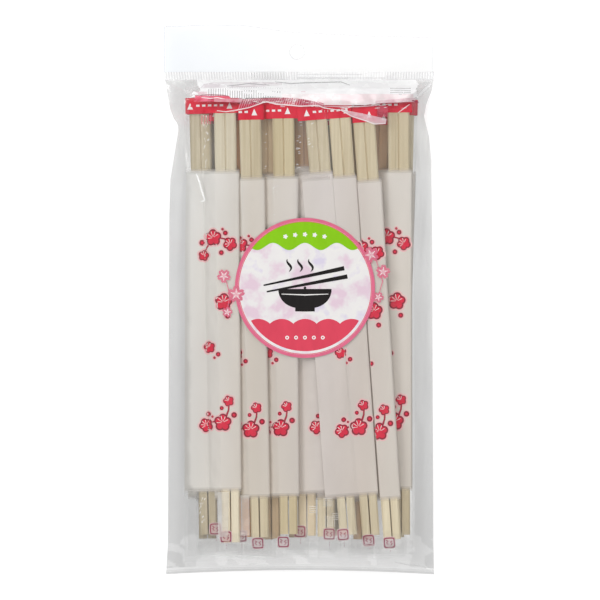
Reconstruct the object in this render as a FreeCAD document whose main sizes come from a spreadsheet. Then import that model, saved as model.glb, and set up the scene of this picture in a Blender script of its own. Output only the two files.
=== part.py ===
import FreeCAD, Part
import math
import os

import Sketcher

# Twenty pairs of half-split wooden chopsticks, each in its own film wrapper,
# packed in three rows in a clear bag with a hang header and a round label.
# The pack lies on its back: X is its width, +Y runs to the header, Z is up.
# Lengths are in millimetres and the origin is under the middle of the pack.

SHEET_NAME = "Sizes"

SIZES = {
    # one pair of sticks, joined at the head
    "stick_length": 203.0,
    "pair_head_width": 10.4,
    "pair_tip_width": 8.2,
    "pair_thickness": 4.2,
    "edge_chamfer": 0.7,
    "groove_width": 0.8,
    "groove_depth": 0.6,
    "split_width": 0.5,
    "joined_length": 42.0,
    # one film wrapper, a flat sleeve with the pair along its right edge
    "wrapper_film": 0.1,
    "stick_clearance": 0.1,
    "wrapper_tail": 13.5,
    "wrapper_head_margin": 6.4,
    "wrapper_tip_margin": 8.5,
    "shingle_slope": 0.0314,
    # the stack of rows
    "row_clearance": 0.1,
    "row_gap": 5.0,
    "stagger_room": 3.8,
    "end_clearance": 0.7,
    # the bag
    "bag_film": 0.2,
    "side_clearance": 2.2,
    "seal_half_width": 64.0,
    "bottom_half_width": 62.8,
    "seal_shoulder_inset": 2.0,
    "seal_rise": 5.0,
    "crimp_height": 2.8,
    "head_slope": 4.6,
    "tip_slope": 3.6,
    "bottom_weld": 2.0,
    "side_fold": 6.2,
    "neck_fold": 2.8,
    "side_rise": 7.0,
    "neck_setback": 6.6,
    "neck_fade": 26.0,
    "end_drop": 4.1,
    # the header with its hang hole
    "header_left_height": 21.9,
    "header_right_height": 17.4,
    "header_right_inset": 0.6,
    "header_thickness": 0.3,
    "hole_radius": 3.3,
    "hole_offset": -0.9,
    "hole_height": 10.4,
    # the round label on the front of the bag
    "label_radius": 33.0,
    "label_thickness": 0.2,
    "label_offset": 2.8,
    "label_height": 5.7,
}

# Each pair of a row, from left to right: the space before its wrapper at the
# head, the space before it at the tips, how far it has slid to the header,
# and the share of its wrapper's tail that lies flat.
ROWS = {
    "back": [
        (3.1, 5.3, 1.2, 0.0),
        (2.5, 2.9, 2.0, 1.0),
        (4.4, 6.9, 0.8, 1.0),
        (4.9, 7.1, 1.7, 1.0),
        (4.3, 6.7, 2.6, 1.0),
        (12.5, 7.0, 1.0, 1.0),
        (0.4, 6.8, 1.9, 1.0),
    ],
    "middle": [
        (0.8, 5.9, 3.4, 0.0),
        (4.4, 7.3, 2.2, 1.0),
        (5.7, 5.2, 1.5, 1.0),
        (6.5, 8.2, 2.8, 1.0),
        (0.5, 0.5, 2.4, 1.0),
        (5.6, 8.3, 1.1, 1.0),
        (6.2, 10.0, 3.3, 1.0),
    ],
    "front": [
        (12.6, 16.6, 0.0, 1.0),
        (0.9, 5.0, 2.3, 1.0),
        (4.9, 5.0, 3.8, 1.0),
        (4.3, 19.5, 3.5, 1.0),
        (0.4, 2.0, 3.3, 1.0),
        (0.7, 1.5, 1.4, 1.0),
    ],
}

document = FreeCAD.newDocument("wrapped_chopsticks")
sheet = document.addObject("Spreadsheet::Sheet", SHEET_NAME)


def fill_sheet():
    """Write every driving dimension and its alias into the sheet."""
    for row, (alias, value) in enumerate(SIZES.items(), start=1):
        sheet.set(f"A{row}", alias)
        sheet.set(f"B{row}", str(value))
        sheet.setAlias(f"B{row}", alias)
    document.recompute()


def size(formula):
    """Work out a formula of sheet sizes as a plain number."""
    return float(sheet.evalExpression(formula))


def ref(alias):
    """Name one sheet size inside a formula."""
    return f"{SHEET_NAME}.{alias}"


def total(*terms):
    """Add terms up inside one pair of brackets."""
    return "(" + " + ".join(terms) + ")"


# Widths and heights that several pieces share.
HEAD_HALF = f"({ref('pair_head_width')}/2 + {ref('stick_clearance')} + {ref('wrapper_film')})"
TIP_HALF = f"({ref('pair_tip_width')}/2 + {ref('stick_clearance')} + {ref('wrapper_film')})"
SLEEVE_FLOOR = f"(2*{ref('wrapper_film')})"
STICK_BOTTOM = f"({SLEEVE_FLOOR} + {ref('stick_clearance')}/2)"
SLEEVE_HEIGHT = total(SLEEVE_FLOOR, ref("stick_clearance"), ref("pair_thickness"), ref("wrapper_film"))
END_WALL = total(ref("stick_clearance"), ref("wrapper_film"))
SIDE_TAPER = f"(({HEAD_HALF} - {TIP_HALF})/({ref('stick_length')} + 2*{END_WALL}))"
TAIL_DROP = f"({ref('shingle_slope')}*({ref('wrapper_tail')} + {HEAD_HALF}))"
ROW_PITCH = total(SLEEVE_HEIGHT, TAIL_DROP, f"{ref('shingle_slope')}*{HEAD_HALF}", ref("row_clearance"))
ROW_LENGTH = max(len(row) for row in ROWS.values())
CONTENT_HALF = f"({ROW_LENGTH}*{HEAD_HALF} + {ROW_LENGTH - 1}*{ref('row_gap')}/2)"
BAG_HEIGHT = f"(2*{ref('bag_film')} + {ref('row_clearance')} + {len(ROWS)}*{ROW_PITCH})"

# Places along the pack, from the bottom edge to the top of the header.
PACK_LENGTH = total(
    ref("bottom_weld"), ref("tip_slope"), ref("end_clearance"), ref("wrapper_tip_margin"),
    ref("stick_length"), ref("stagger_room"), ref("wrapper_head_margin"), ref("end_clearance"),
    ref("head_slope"), ref("crimp_height"), ref("header_left_height"),
)
BOTTOM_EDGE = f"(-{PACK_LENGTH}/2)"
WELD_TOP = total(BOTTOM_EDGE, ref("bottom_weld"))
TIP_END = total(WELD_TOP, ref("tip_slope"))
TIPS = total(TIP_END, ref("end_clearance"), ref("wrapper_tip_margin"))
HEADS = total(TIPS, ref("stick_length"), ref("stagger_room"))
HEAD_END = total(HEADS, ref("wrapper_head_margin"), ref("end_clearance"))
SEAL_FOOT = total(HEAD_END, ref("head_slope"))
SEAL_TOP = total(SEAL_FOOT, ref("crimp_height"))


def origin_plane(body, role):
    """Find one of a body's own origin planes."""
    return next(feature for feature in body.Origin.OriginFeatures if feature.Role == role)


def new_body(name):
    """Add an empty body that carries one sub-part."""
    body = document.addObject("PartDesign::Body", name)
    body.Label = name
    return body


def new_sketch(body, name, role, offset):
    """Add a sketch on one of the body's origin planes, moved along its normal."""
    sketch = body.newObject("Sketcher::SketchObject", name)
    sketch.AttachmentSupport = [(origin_plane(body, role), "")]
    sketch.MapMode = "FlatFace"
    sketch.setExpression("AttachmentOffset.Base.z", offset)
    return sketch


def draw_polygon(sketch, corners):
    """Draw a closed outline whose corners are pairs of formulas."""
    count = len(corners)
    places = [FreeCAD.Vector(size(across), size(up), 0) for across, up in corners]
    for index, place in enumerate(places):
        sketch.addGeometry(Part.LineSegment(place, places[(index + 1) % count]))
    for index in range(count):
        sketch.addConstraint(Sketcher.Constraint("Coincident", index, 2, (index + 1) % count, 1))
    for index, (across, up) in enumerate(corners):
        for kind, formula, value in (
            ("DistanceX", across, places[index].x),
            ("DistanceY", up, places[index].y),
        ):
            constraint = sketch.addConstraint(Sketcher.Constraint(kind, index, 1, value))
            sketch.renameConstraint(constraint, f"{kind}_{index}")
            sketch.setExpression(f"Constraints.{kind}_{index}", formula)


def add_solid(body, kind, name, **formulas):
    """Add a PartDesign primitive and bind each of its sizes to a formula."""
    solid = body.newObject(f"PartDesign::{kind}", name)
    for key, formula in formulas.items():
        solid.setExpression(key.replace("_", "."), formula)
    return solid


def make_pair(name, placement):
    """Make one pair of tapered sticks, still joined at the head."""
    body = new_body(name)
    length = ref("stick_length")
    top = total(STICK_BOTTOM, ref("pair_thickness"))
    blank = add_solid(
        body, "AdditiveWedge", f"{name}_blank",
        Xmin=f"-{ref('pair_tip_width')}/2", Xmax=f"{ref('pair_tip_width')}/2",
        X2min=f"-{ref('pair_head_width')}/2", X2max=f"{ref('pair_head_width')}/2",
        Ymin="0", Ymax=length, Zmin=STICK_BOTTOM, Zmax=top, Z2min=STICK_BOTTOM, Z2max=top,
    )
    document.recompute()
    chamfer = body.newObject("PartDesign::Chamfer", f"{name}_edges")
    long_edges = [
        f"Edge{number}"
        for number, edge in enumerate(blank.Shape.Edges, start=1)
        if edge.Length > size(length) * 0.99
    ]
    chamfer.Base = (blank, long_edges)
    chamfer.setExpression("Size", ref("edge_chamfer"))
    for side, turn, level in (("front", -90, top), ("rear", 90, STICK_BOTTOM)):
        groove = add_solid(
            body, "SubtractiveWedge", f"{name}_{side}_groove",
            Xmin=f"-{ref('groove_width')}/2", Xmax=f"{ref('groove_width')}/2", X2min="0", X2max="0",
            Ymin="0", Ymax=ref("groove_depth"),
            Zmin=f"-{length}" if turn > 0 else "0", Zmax="0" if turn > 0 else length,
            Z2min=f"-{length}" if turn > 0 else "0", Z2max="0" if turn > 0 else length,
        )
        groove.Placement.Rotation = FreeCAD.Rotation(FreeCAD.Vector(1, 0, 0), turn)
        groove.setExpression("Placement.Base.z", level)
    split = add_solid(
        body, "SubtractiveBox", f"{name}_split",
        Length=ref("split_width"), Width=f"{length} - {ref('joined_length')}",
        Height=ref("pair_thickness"),
    )
    split.setExpression("Placement.Base.x", f"-{ref('split_width')}/2")
    split.setExpression("Placement.Base.z", STICK_BOTTOM)
    body.Placement = placement
    return body


def make_wrapper(name, placement, tail_share):
    """Make one wrapper: a hollow sleeve round the pair and its flat film."""
    body = new_body(name)
    flat_width = f"(2*{HEAD_HALF} + {ref('wrapper_tail')}*{tail_share})"
    low_right = f"({TIP_HALF} - {SIDE_TAPER}*({ref('wrapper_tip_margin')} - {END_WALL}))"
    high_right = f"({HEAD_HALF} + {SIDE_TAPER}*({ref('wrapper_head_margin')} - {END_WALL}))"
    add_solid(
        body, "AdditiveWedge", f"{name}_flat",
        Xmin=f"{low_right} - {flat_width}", Xmax=low_right,
        X2min=f"{high_right} - {flat_width}", X2max=high_right,
        Ymin=f"-{ref('wrapper_tip_margin')}", Ymax=total(ref("stick_length"), ref("wrapper_head_margin")),
        Zmin="0", Zmax=SLEEVE_FLOOR, Z2min="0", Z2max=SLEEVE_FLOOR,
    )
    add_solid(
        body, "AdditiveWedge", f"{name}_sleeve",
        Xmin=f"-{TIP_HALF}", Xmax=TIP_HALF, X2min=f"-{HEAD_HALF}", X2max=HEAD_HALF,
        Ymin=f"-{END_WALL}", Ymax=total(ref("stick_length"), END_WALL),
        Zmin="0", Zmax=SLEEVE_HEIGHT, Z2min="0", Z2max=SLEEVE_HEIGHT,
    )
    film = ref("wrapper_film")
    ceiling = f"{SLEEVE_HEIGHT} - {film}"
    add_solid(
        body, "SubtractiveWedge", f"{name}_hollow",
        Xmin=f"-({TIP_HALF} - {film})", Xmax=f"{TIP_HALF} - {film}",
        X2min=f"-({HEAD_HALF} - {film})", X2max=f"{HEAD_HALF} - {film}",
        Ymin=f"-{ref('stick_clearance')}", Ymax=total(ref("stick_length"), ref("stick_clearance")),
        Zmin=SLEEVE_FLOOR, Zmax=ceiling, Z2min=SLEEVE_FLOOR, Z2max=ceiling,
    )
    body.Placement = placement
    return body


def make_rows():
    """Make every pair with its wrapper, row by row from the back to the front."""
    bodies = []
    content_left = -size(CONTENT_HALF)
    head_width = 2 * size(HEAD_HALF)
    tip_width = 2 * size(TIP_HALF)
    roll = FreeCAD.Rotation(FreeCAD.Vector(0, 1, 0), -math.degrees(math.atan(size(ref("shingle_slope")))))
    number = 0
    for row_index, row in enumerate(ROWS.values()):
        level = size(total(ref("bag_film"), ref("row_clearance"), TAIL_DROP))
        level += row_index * size(ROW_PITCH)
        head_x = content_left - head_width / 2
        tip_x = content_left - tip_width / 2
        for head_gap, tip_gap, slide, tail_share in row:
            number += 1
            head_x += head_gap + head_width
            tip_x += tip_gap + tip_width
            lean = math.degrees(math.atan((tip_x - head_x) / size(ref("stick_length"))))
            turn = FreeCAD.Rotation(FreeCAD.Vector(0, 0, 1), lean)
            place = FreeCAD.Vector(tip_x, size(TIPS) + slide, level)
            placement = FreeCAD.Placement(place, turn.multiply(roll))
            bodies.append(make_pair(f"chopstick_pair_{number:02d}", placement))
            bodies.append(make_wrapper(f"wrapper_{number:02d}", placement, tail_share))
    return bodies


def row_edge(row, side, end):
    """Place a row's left side, right side or first flat tail at the head or at the tips."""
    column, half = (0, HEAD_HALF) if end == "head" else (1, TIP_HALF)
    pairs = ROWS[row]
    if side == "left":
        return f"({pairs[0][column]} - {CONTENT_HALF})"
    if side == "tail":
        flat_width = f"(2*{HEAD_HALF} + {ref('wrapper_tail')})"
        return f"({pairs[0][column]} + 2*{half} - {flat_width} - {CONTENT_HALF})"
    gaps = round(sum(pair[column] for pair in pairs), 3)
    return f"({gaps} + {2 * len(pairs)}*{half} - {CONTENT_HALF})"


def row_edge_at(row, side, place):
    """Place one side of a row at a place along the pack, on its leaning line."""
    tips, head = row_edge(row, side, "tips"), row_edge(row, side, "head")
    return f"({tips} + ({head} - {tips})*({place} - {TIPS})/{ref('stick_length')})"


def bag_outline(section, film):
    """List the corners of the bag's cross-section, drawn in by a film thickness."""
    half = f"({section['half']} - 3*{film})"
    foot = f"({section['foot']} - {film}/2)"
    top = f"({section['top']} - {film})"
    bottom = f"({section['bottom']} + {film})"
    left_flank, right_flank = section["left_flank"], section["right_flank"]
    return [
        (f"-{half}", section["side"]),
        (f"({left_flank[0]} + 1.5*{film})", f"({left_flank[1]} - {film})"),
        (f"({section['left_shoulder']} + {film}/2)", top),
        (f"({section['right_shoulder']} - {film}/2)", top),
        (f"({right_flank[0]} - 1.5*{film})", f"({right_flank[1]} - {film})"),
        (half, section["side"]),
        (foot, bottom),
        (f"-{foot}", bottom),
    ]


def flat_section(half):
    """Give a welded section, where the bag is nearly flat."""
    film, rise = ref("bag_film"), ref("seal_rise")
    shoulder = f"({half} - {ref('seal_shoulder_inset')})"
    flank = (f"({half} - {ref('seal_shoulder_inset')}/2)", f"({rise} + 1.1*{film})")
    return {
        "half": half, "foot": shoulder, "left_shoulder": f"(0 - {shoulder})", "right_shoulder": shoulder,
        "left_flank": (f"(0 - {flank[0]})", flank[1]), "right_flank": flank,
        "top": f"({rise} + 1.25*{film})", "bottom": f"({rise} - 1.25*{film})", "side": rise,
    }


def filled_section(half, row_place, top):
    """Give a filled section: the film falls from the front row to the side folds.

    On the left it rests on the flat tail of the front row's first wrapper, and
    on the right on the last pair of the row under the front row.
    """
    film, room = ref("bag_film"), ref("end_clearance")
    rows_below = len(ROWS) - 1
    left = f"({row_edge_at('front', 'left', row_place)} - {room})"
    right = f"({row_edge_at('front', 'right', row_place)} + {room})"
    floor = total(film, ref("row_clearance"), f"{rows_below}*{ROW_PITCH}")
    return {
        "half": half, "foot": total(CONTENT_HALF, ref("side_clearance")),
        "left_shoulder": left, "right_shoulder": right,
        "left_flank": (
            f"({row_edge_at('front', 'tail', row_place)} - {room})",
            total(floor, SLEEVE_FLOOR, film, room),
        ),
        "right_flank": (
            f"({row_edge_at('middle', 'right', row_place)} + {room})",
            total(floor, film, ref("row_clearance")),
        ),
        "top": top, "bottom": "0", "side": ref("side_rise"),
    }


def bag_stations():
    """List the bag's sections with their places along the pack."""
    shoulder = total(CONTENT_HALF, ref("side_clearance"))
    body_half = total(shoulder, ref("side_fold"))
    neck_half = total(shoulder, ref("neck_fold"))
    low_top = f"({BAG_HEIGHT} - {ref('end_drop')})"
    seal = flat_section(ref("seal_half_width"))
    weld = flat_section(ref("bottom_half_width"))
    tips_full = f"({TIPS} - {ref('end_clearance')})"
    neck = f"({HEADS} - {ref('neck_setback')})"
    neck_foot = f"({neck} - {ref('neck_fade')})"
    heads = f"({TIPS} + {ref('stick_length')})"
    return [
        (BOTTOM_EDGE, weld),
        (WELD_TOP, weld),
        (TIP_END, filled_section(body_half, TIPS, low_top)),
        (tips_full, filled_section(body_half, TIPS, BAG_HEIGHT)),
        (neck_foot, filled_section(body_half, neck_foot, BAG_HEIGHT)),
        (neck, filled_section(neck_half, neck, BAG_HEIGHT)),
        (total(HEADS, ref("end_clearance")), filled_section(body_half, heads, BAG_HEIGHT)),
        (HEAD_END, filled_section(body_half, heads, low_top)),
        (SEAL_FOOT, seal),
        (SEAL_TOP, seal),
    ]


def loft_stations(body, kind, name, stations, film):
    """Loft the body through sketches of the bag's outline at its stations."""
    sketches = []
    for number, (place, section) in enumerate(stations, start=1):
        sketch = new_sketch(body, f"{name}_section_{number}", "XZ_Plane", f"-{place}")
        draw_polygon(sketch, bag_outline(section, film))
        sketches.append(sketch)
    loft = body.newObject(f"PartDesign::{kind}", name)
    loft.Profile = sketches[0]
    loft.Sections = sketches[1:]
    loft.Ruled = True
    return loft


def make_bag():
    """Make the sealed bag: an outer loft less the space that the contents fill."""
    body = new_body("bag_film")
    stations = bag_stations()
    loft_stations(body, "AdditiveLoft", "bag_outside", stations, "0")
    document.recompute()
    solid_volume = body.Shape.Volume
    loft_stations(body, "SubtractiveLoft", "bag_inside", stations[1:-1], ref("bag_film"))
    document.recompute()
    if body.Shape.Volume >= solid_volume:
        raise RuntimeError("the bag was not hollowed")
    return body


def make_header():
    """Make the header strip above the seal, with its hang hole."""
    body = new_body("header_strip")
    half = ref("seal_half_width")
    right = f"({half} - {ref('header_right_inset')})"
    level = f"({ref('seal_rise')} - {ref('header_thickness')}/2)"
    sketch = new_sketch(body, "header_outline", "XY_Plane", level)
    draw_polygon(sketch, [
        (f"-{half}", SEAL_TOP),
        (right, SEAL_TOP),
        (right, total(SEAL_TOP, ref("header_right_height"))),
        (f"-{half}", total(SEAL_TOP, ref("header_left_height"))),
    ])
    hole_y = total(SEAL_TOP, ref("hole_height"))
    centre = FreeCAD.Vector(size(ref("hole_offset")), size(hole_y), 0)
    circle = sketch.addGeometry(
        Part.Circle(centre, FreeCAD.Vector(0, 0, 1), size(ref("hole_radius")))
    )
    for kind, value, formula, name in (
        ("DistanceX", centre.x, ref("hole_offset"), "hole_across"),
        ("DistanceY", centre.y, hole_y, "hole_along"),
    ):
        number = sketch.addConstraint(Sketcher.Constraint(kind, circle, 3, value))
        sketch.renameConstraint(number, name)
        sketch.setExpression(f"Constraints.{name}", formula)
    number = sketch.addConstraint(Sketcher.Constraint("Radius", circle, size(ref("hole_radius"))))
    sketch.renameConstraint(number, "hole_size")
    sketch.setExpression("Constraints.hole_size", ref("hole_radius"))
    pad = body.newObject("PartDesign::Pad", "header_pad")
    pad.Profile = sketch
    pad.setExpression("Length", ref("header_thickness"))
    return body


def make_label():
    """Make the round label that lies on the front of the bag."""
    body = new_body("round_label")
    disc = add_solid(
        body, "AdditiveCylinder", "label_disc",
        Radius=ref("label_radius"), Height=ref("label_thickness"),
    )
    disc.setExpression("Placement.Base.x", ref("label_offset"))
    disc.setExpression("Placement.Base.y", ref("label_height"))
    disc.setExpression("Placement.Base.z", BAG_HEIGHT)
    return body


def check_document(bodies):
    """Stop if any object failed or any sub-part is not one sound solid."""
    for item in document.Objects:
        if "Invalid" in item.State or "Error" in item.State:
            raise RuntimeError(f"{item.Name} failed: {item.State}")
    for body in bodies:
        shape = body.Shape
        if shape.isNull() or not shape.isValid() or len(shape.Solids) != 1:
            raise RuntimeError(f"{body.Label} is not one sound solid")


def export_bodies(bodies):
    """Write each sub-part to its own STEP file."""
    os.makedirs("parts", exist_ok=True)
    for body in bodies:
        body.Shape.exportStep(f"parts/{body.Label}.step")
        print(f"{body.Label}: {body.Shape.Volume:.1f} mm3")


fill_sheet()
parts = [make_bag(), make_header(), make_label(), *make_rows()]
document.recompute()
check_document(parts)
export_bodies(parts)
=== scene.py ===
"""Looks of a sealed pack of wrapped wooden chopsticks: wood, film, print, label and stage."""

import logging
import math
from collections.abc import Callable
from dataclasses import dataclass, field
from enum import Enum

import bpy
import numpy as np
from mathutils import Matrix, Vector


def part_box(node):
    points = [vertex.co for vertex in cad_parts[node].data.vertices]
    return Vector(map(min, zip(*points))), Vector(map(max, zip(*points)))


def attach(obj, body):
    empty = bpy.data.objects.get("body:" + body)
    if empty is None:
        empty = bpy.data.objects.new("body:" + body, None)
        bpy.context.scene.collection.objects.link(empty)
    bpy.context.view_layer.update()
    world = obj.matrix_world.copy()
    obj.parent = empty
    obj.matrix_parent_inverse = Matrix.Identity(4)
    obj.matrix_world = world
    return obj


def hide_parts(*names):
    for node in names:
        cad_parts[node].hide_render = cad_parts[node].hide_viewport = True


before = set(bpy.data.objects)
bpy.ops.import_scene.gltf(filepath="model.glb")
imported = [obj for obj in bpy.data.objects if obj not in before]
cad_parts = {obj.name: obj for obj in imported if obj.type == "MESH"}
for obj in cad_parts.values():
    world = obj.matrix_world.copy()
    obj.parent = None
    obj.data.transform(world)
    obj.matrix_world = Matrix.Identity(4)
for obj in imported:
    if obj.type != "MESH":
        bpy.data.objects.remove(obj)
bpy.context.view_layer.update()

LOG = logging.getLogger("chopstick_pack")

MM = 0.001
STICK_LENGTH = 203.0
SHINGLE_SLOPE = 0.0314
PAIR_COUNT = 20

Triple = tuple[float, float, float]
Colour = Triple
Spot = tuple[float, float]
Line = tuple[Spot, ...]
Array = np.ndarray
Outline = Callable[[Array], Array | float]
Node = bpy.types.Node
Material = bpy.types.Material
Piece = bpy.types.Object


class Row(Enum):
    """Rows of wrapped pairs, with the first and last pair's number."""

    BACK = (1, 7)
    MIDDLE = (8, 14)
    FRONT = (15, 20)


class Tail(Enum):
    """Where a wrapper's spare film lies."""

    UNDER = "under its left neighbour"
    OVER = "over its left neighbour"
    FOLDED = "folded under its own pair"


# ---- small helpers


def smoothstep(low: float, high: float, value: Array) -> Array:
    """Ease from 0 at the low value to 1 at the high one."""
    share = np.clip((value - low) / (high - low), 0.0, 1.0)
    return share * share * (3.0 - 2.0 * share)


def lengthwise(v: Array, tips: float, head: float) -> Array:
    """Value that runs straight from a pair's tips to its head, at places along it."""
    return np.interp(v, [0.0, STICK_LENGTH], [tips, head])


def joined(x: Array, y: Array, z: Array) -> Array:
    """Join grids of coordinates into places, with x, y and z last."""
    return np.stack(np.broadcast_arrays(x, y, z), axis=-1)


def ribbon(line: Array, widths: Array) -> Array:
    """Widen a line into a strip of three lines.

    Args:
        line: Places across and along, one row each.
        widths: Width at each place.

    Returns:
        Places by point and side: left edge, middle and right edge.
    """
    step = np.gradient(line, axis=0)
    side = np.stack([-step[:, 1], step[:, 0]], axis=1) / (np.hypot(*step.T) + 1e-9)[:, None]
    side = side * widths[:, None] / 2
    return np.stack([line + side, line, line - side], axis=1)


def filled(middle: Spot, reach: Outline, inner: float, rings: int, points: int) -> Array:
    """Fill an outline that is a radius for each angle.

    Args:
        middle: Its middle across and along.
        reach: Gives the radius at an angle.
        inner: Share of the radius where the shape starts.
        rings: Number of rings of faces.
        points: Number of faces in a ring.

    Returns:
        Places across and along, by ring and angle.
    """
    angle = np.linspace(0, 2 * math.pi, points + 1)
    spread = np.linspace(inner, 1.0, rings + 1)[:, None] * reach(angle)
    return np.stack([middle[0] + spread * np.cos(angle), middle[1] + spread * np.sin(angle)], axis=-1)


def petal_angle(angle: Array, turn: float) -> Array:
    """Angle from the middle of the nearest of five petals, of a blossom with a turn."""
    return (angle - turn + math.pi / 5) % (2 * math.pi / 5) - math.pi / 5


@dataclass(frozen=True)
class Ripple:
    """Smooth or faceted seeded noise over a plane, between -1 and 1, with its lattice steps in mm."""

    seed: int
    step_u: float
    step_v: float
    faceted: bool = False
    lattice_size: int = 97

    def at(self, u: Array, v: Array) -> Array:
        """Read the noise at places.

        Args:
            u: Places across, in mm.
            v: Places along, in mm.

        Returns:
            The noise at each place.
        """
        size = self.lattice_size
        lattice = np.random.default_rng(self.seed).uniform(-1.0, 1.0, (size, size))
        pu, pv = np.broadcast_arrays(np.asarray(u, float) / self.step_u, np.asarray(v, float) / self.step_v)
        pu = pu + size * 4
        pv = pv + size * 4
        iu = np.floor(pu).astype(int)
        iv = np.floor(pv).astype(int)
        fu = pu - iu
        fv = pv - iv
        near = lattice[iu % size, iv % size]
        right = lattice[(iu + 1) % size, iv % size]
        above = lattice[iu % size, (iv + 1) % size]
        far = lattice[(iu + 1) % size, (iv + 1) % size]
        if self.faceted:
            lower = near + (right - near) * fu + (above - near) * fv
            upper = far + (above - far) * (1 - fu) + (right - far) * (1 - fv)
            return np.where(fu + fv < 1, lower, upper)
        fu = smoothstep(0.0, 1.0, fu)
        fv = smoothstep(0.0, 1.0, fv)
        return (near * (1 - fu) + right * fu) * (1 - fv) + (above * (1 - fu) + far * fu) * fv


@dataclass
class MeshDraft:
    """Sheets of quads in mm, with a material for each face, gathered before a mesh is made."""

    places: list[Array] = field(default_factory=list)
    faces: list[Array] = field(default_factory=list)
    slots: list[Array] = field(default_factory=list)
    count: int = 0

    def add(self, places: Array, slots: int | Array) -> None:
        """Add a sheet.

        Args:
            places: Vertices in mm, by row and column.
            slots: Material slot of every face, or one for each.
        """
        rows, columns = places.shape[:2]
        first = self.count + (np.arange(rows - 1)[:, None] * columns + np.arange(columns - 1)).ravel()
        self.faces.append(np.stack([first, first + 1, first + columns + 1, first + columns], axis=1))
        self.places.append(places.reshape(-1, 3))
        self.slots.append(np.broadcast_to(np.ravel(slots), first.shape))
        self.count += rows * columns

    def build(self, name: str, finishes: list[Material]) -> Piece:
        """Make the object, in metres, with its materials.

        Args:
            name: Name of the piece.
            finishes: Materials in slot order.

        Returns:
            The new object.
        """
        mesh = bpy.data.meshes.new(name)
        mesh.from_pydata((np.vstack(self.places) * MM).tolist(), [], np.vstack(self.faces).tolist())
        for finish in finishes:
            mesh.materials.append(finish)
        mesh.polygons.foreach_set("material_index", np.concatenate(self.slots).astype(np.int32))
        mesh.polygons.foreach_set("use_smooth", np.ones(len(mesh.polygons), bool))
        mesh.update()
        piece = bpy.data.objects.new(name, mesh)
        bpy.context.scene.collection.objects.link(piece)
        return piece


# ---- materials


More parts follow.
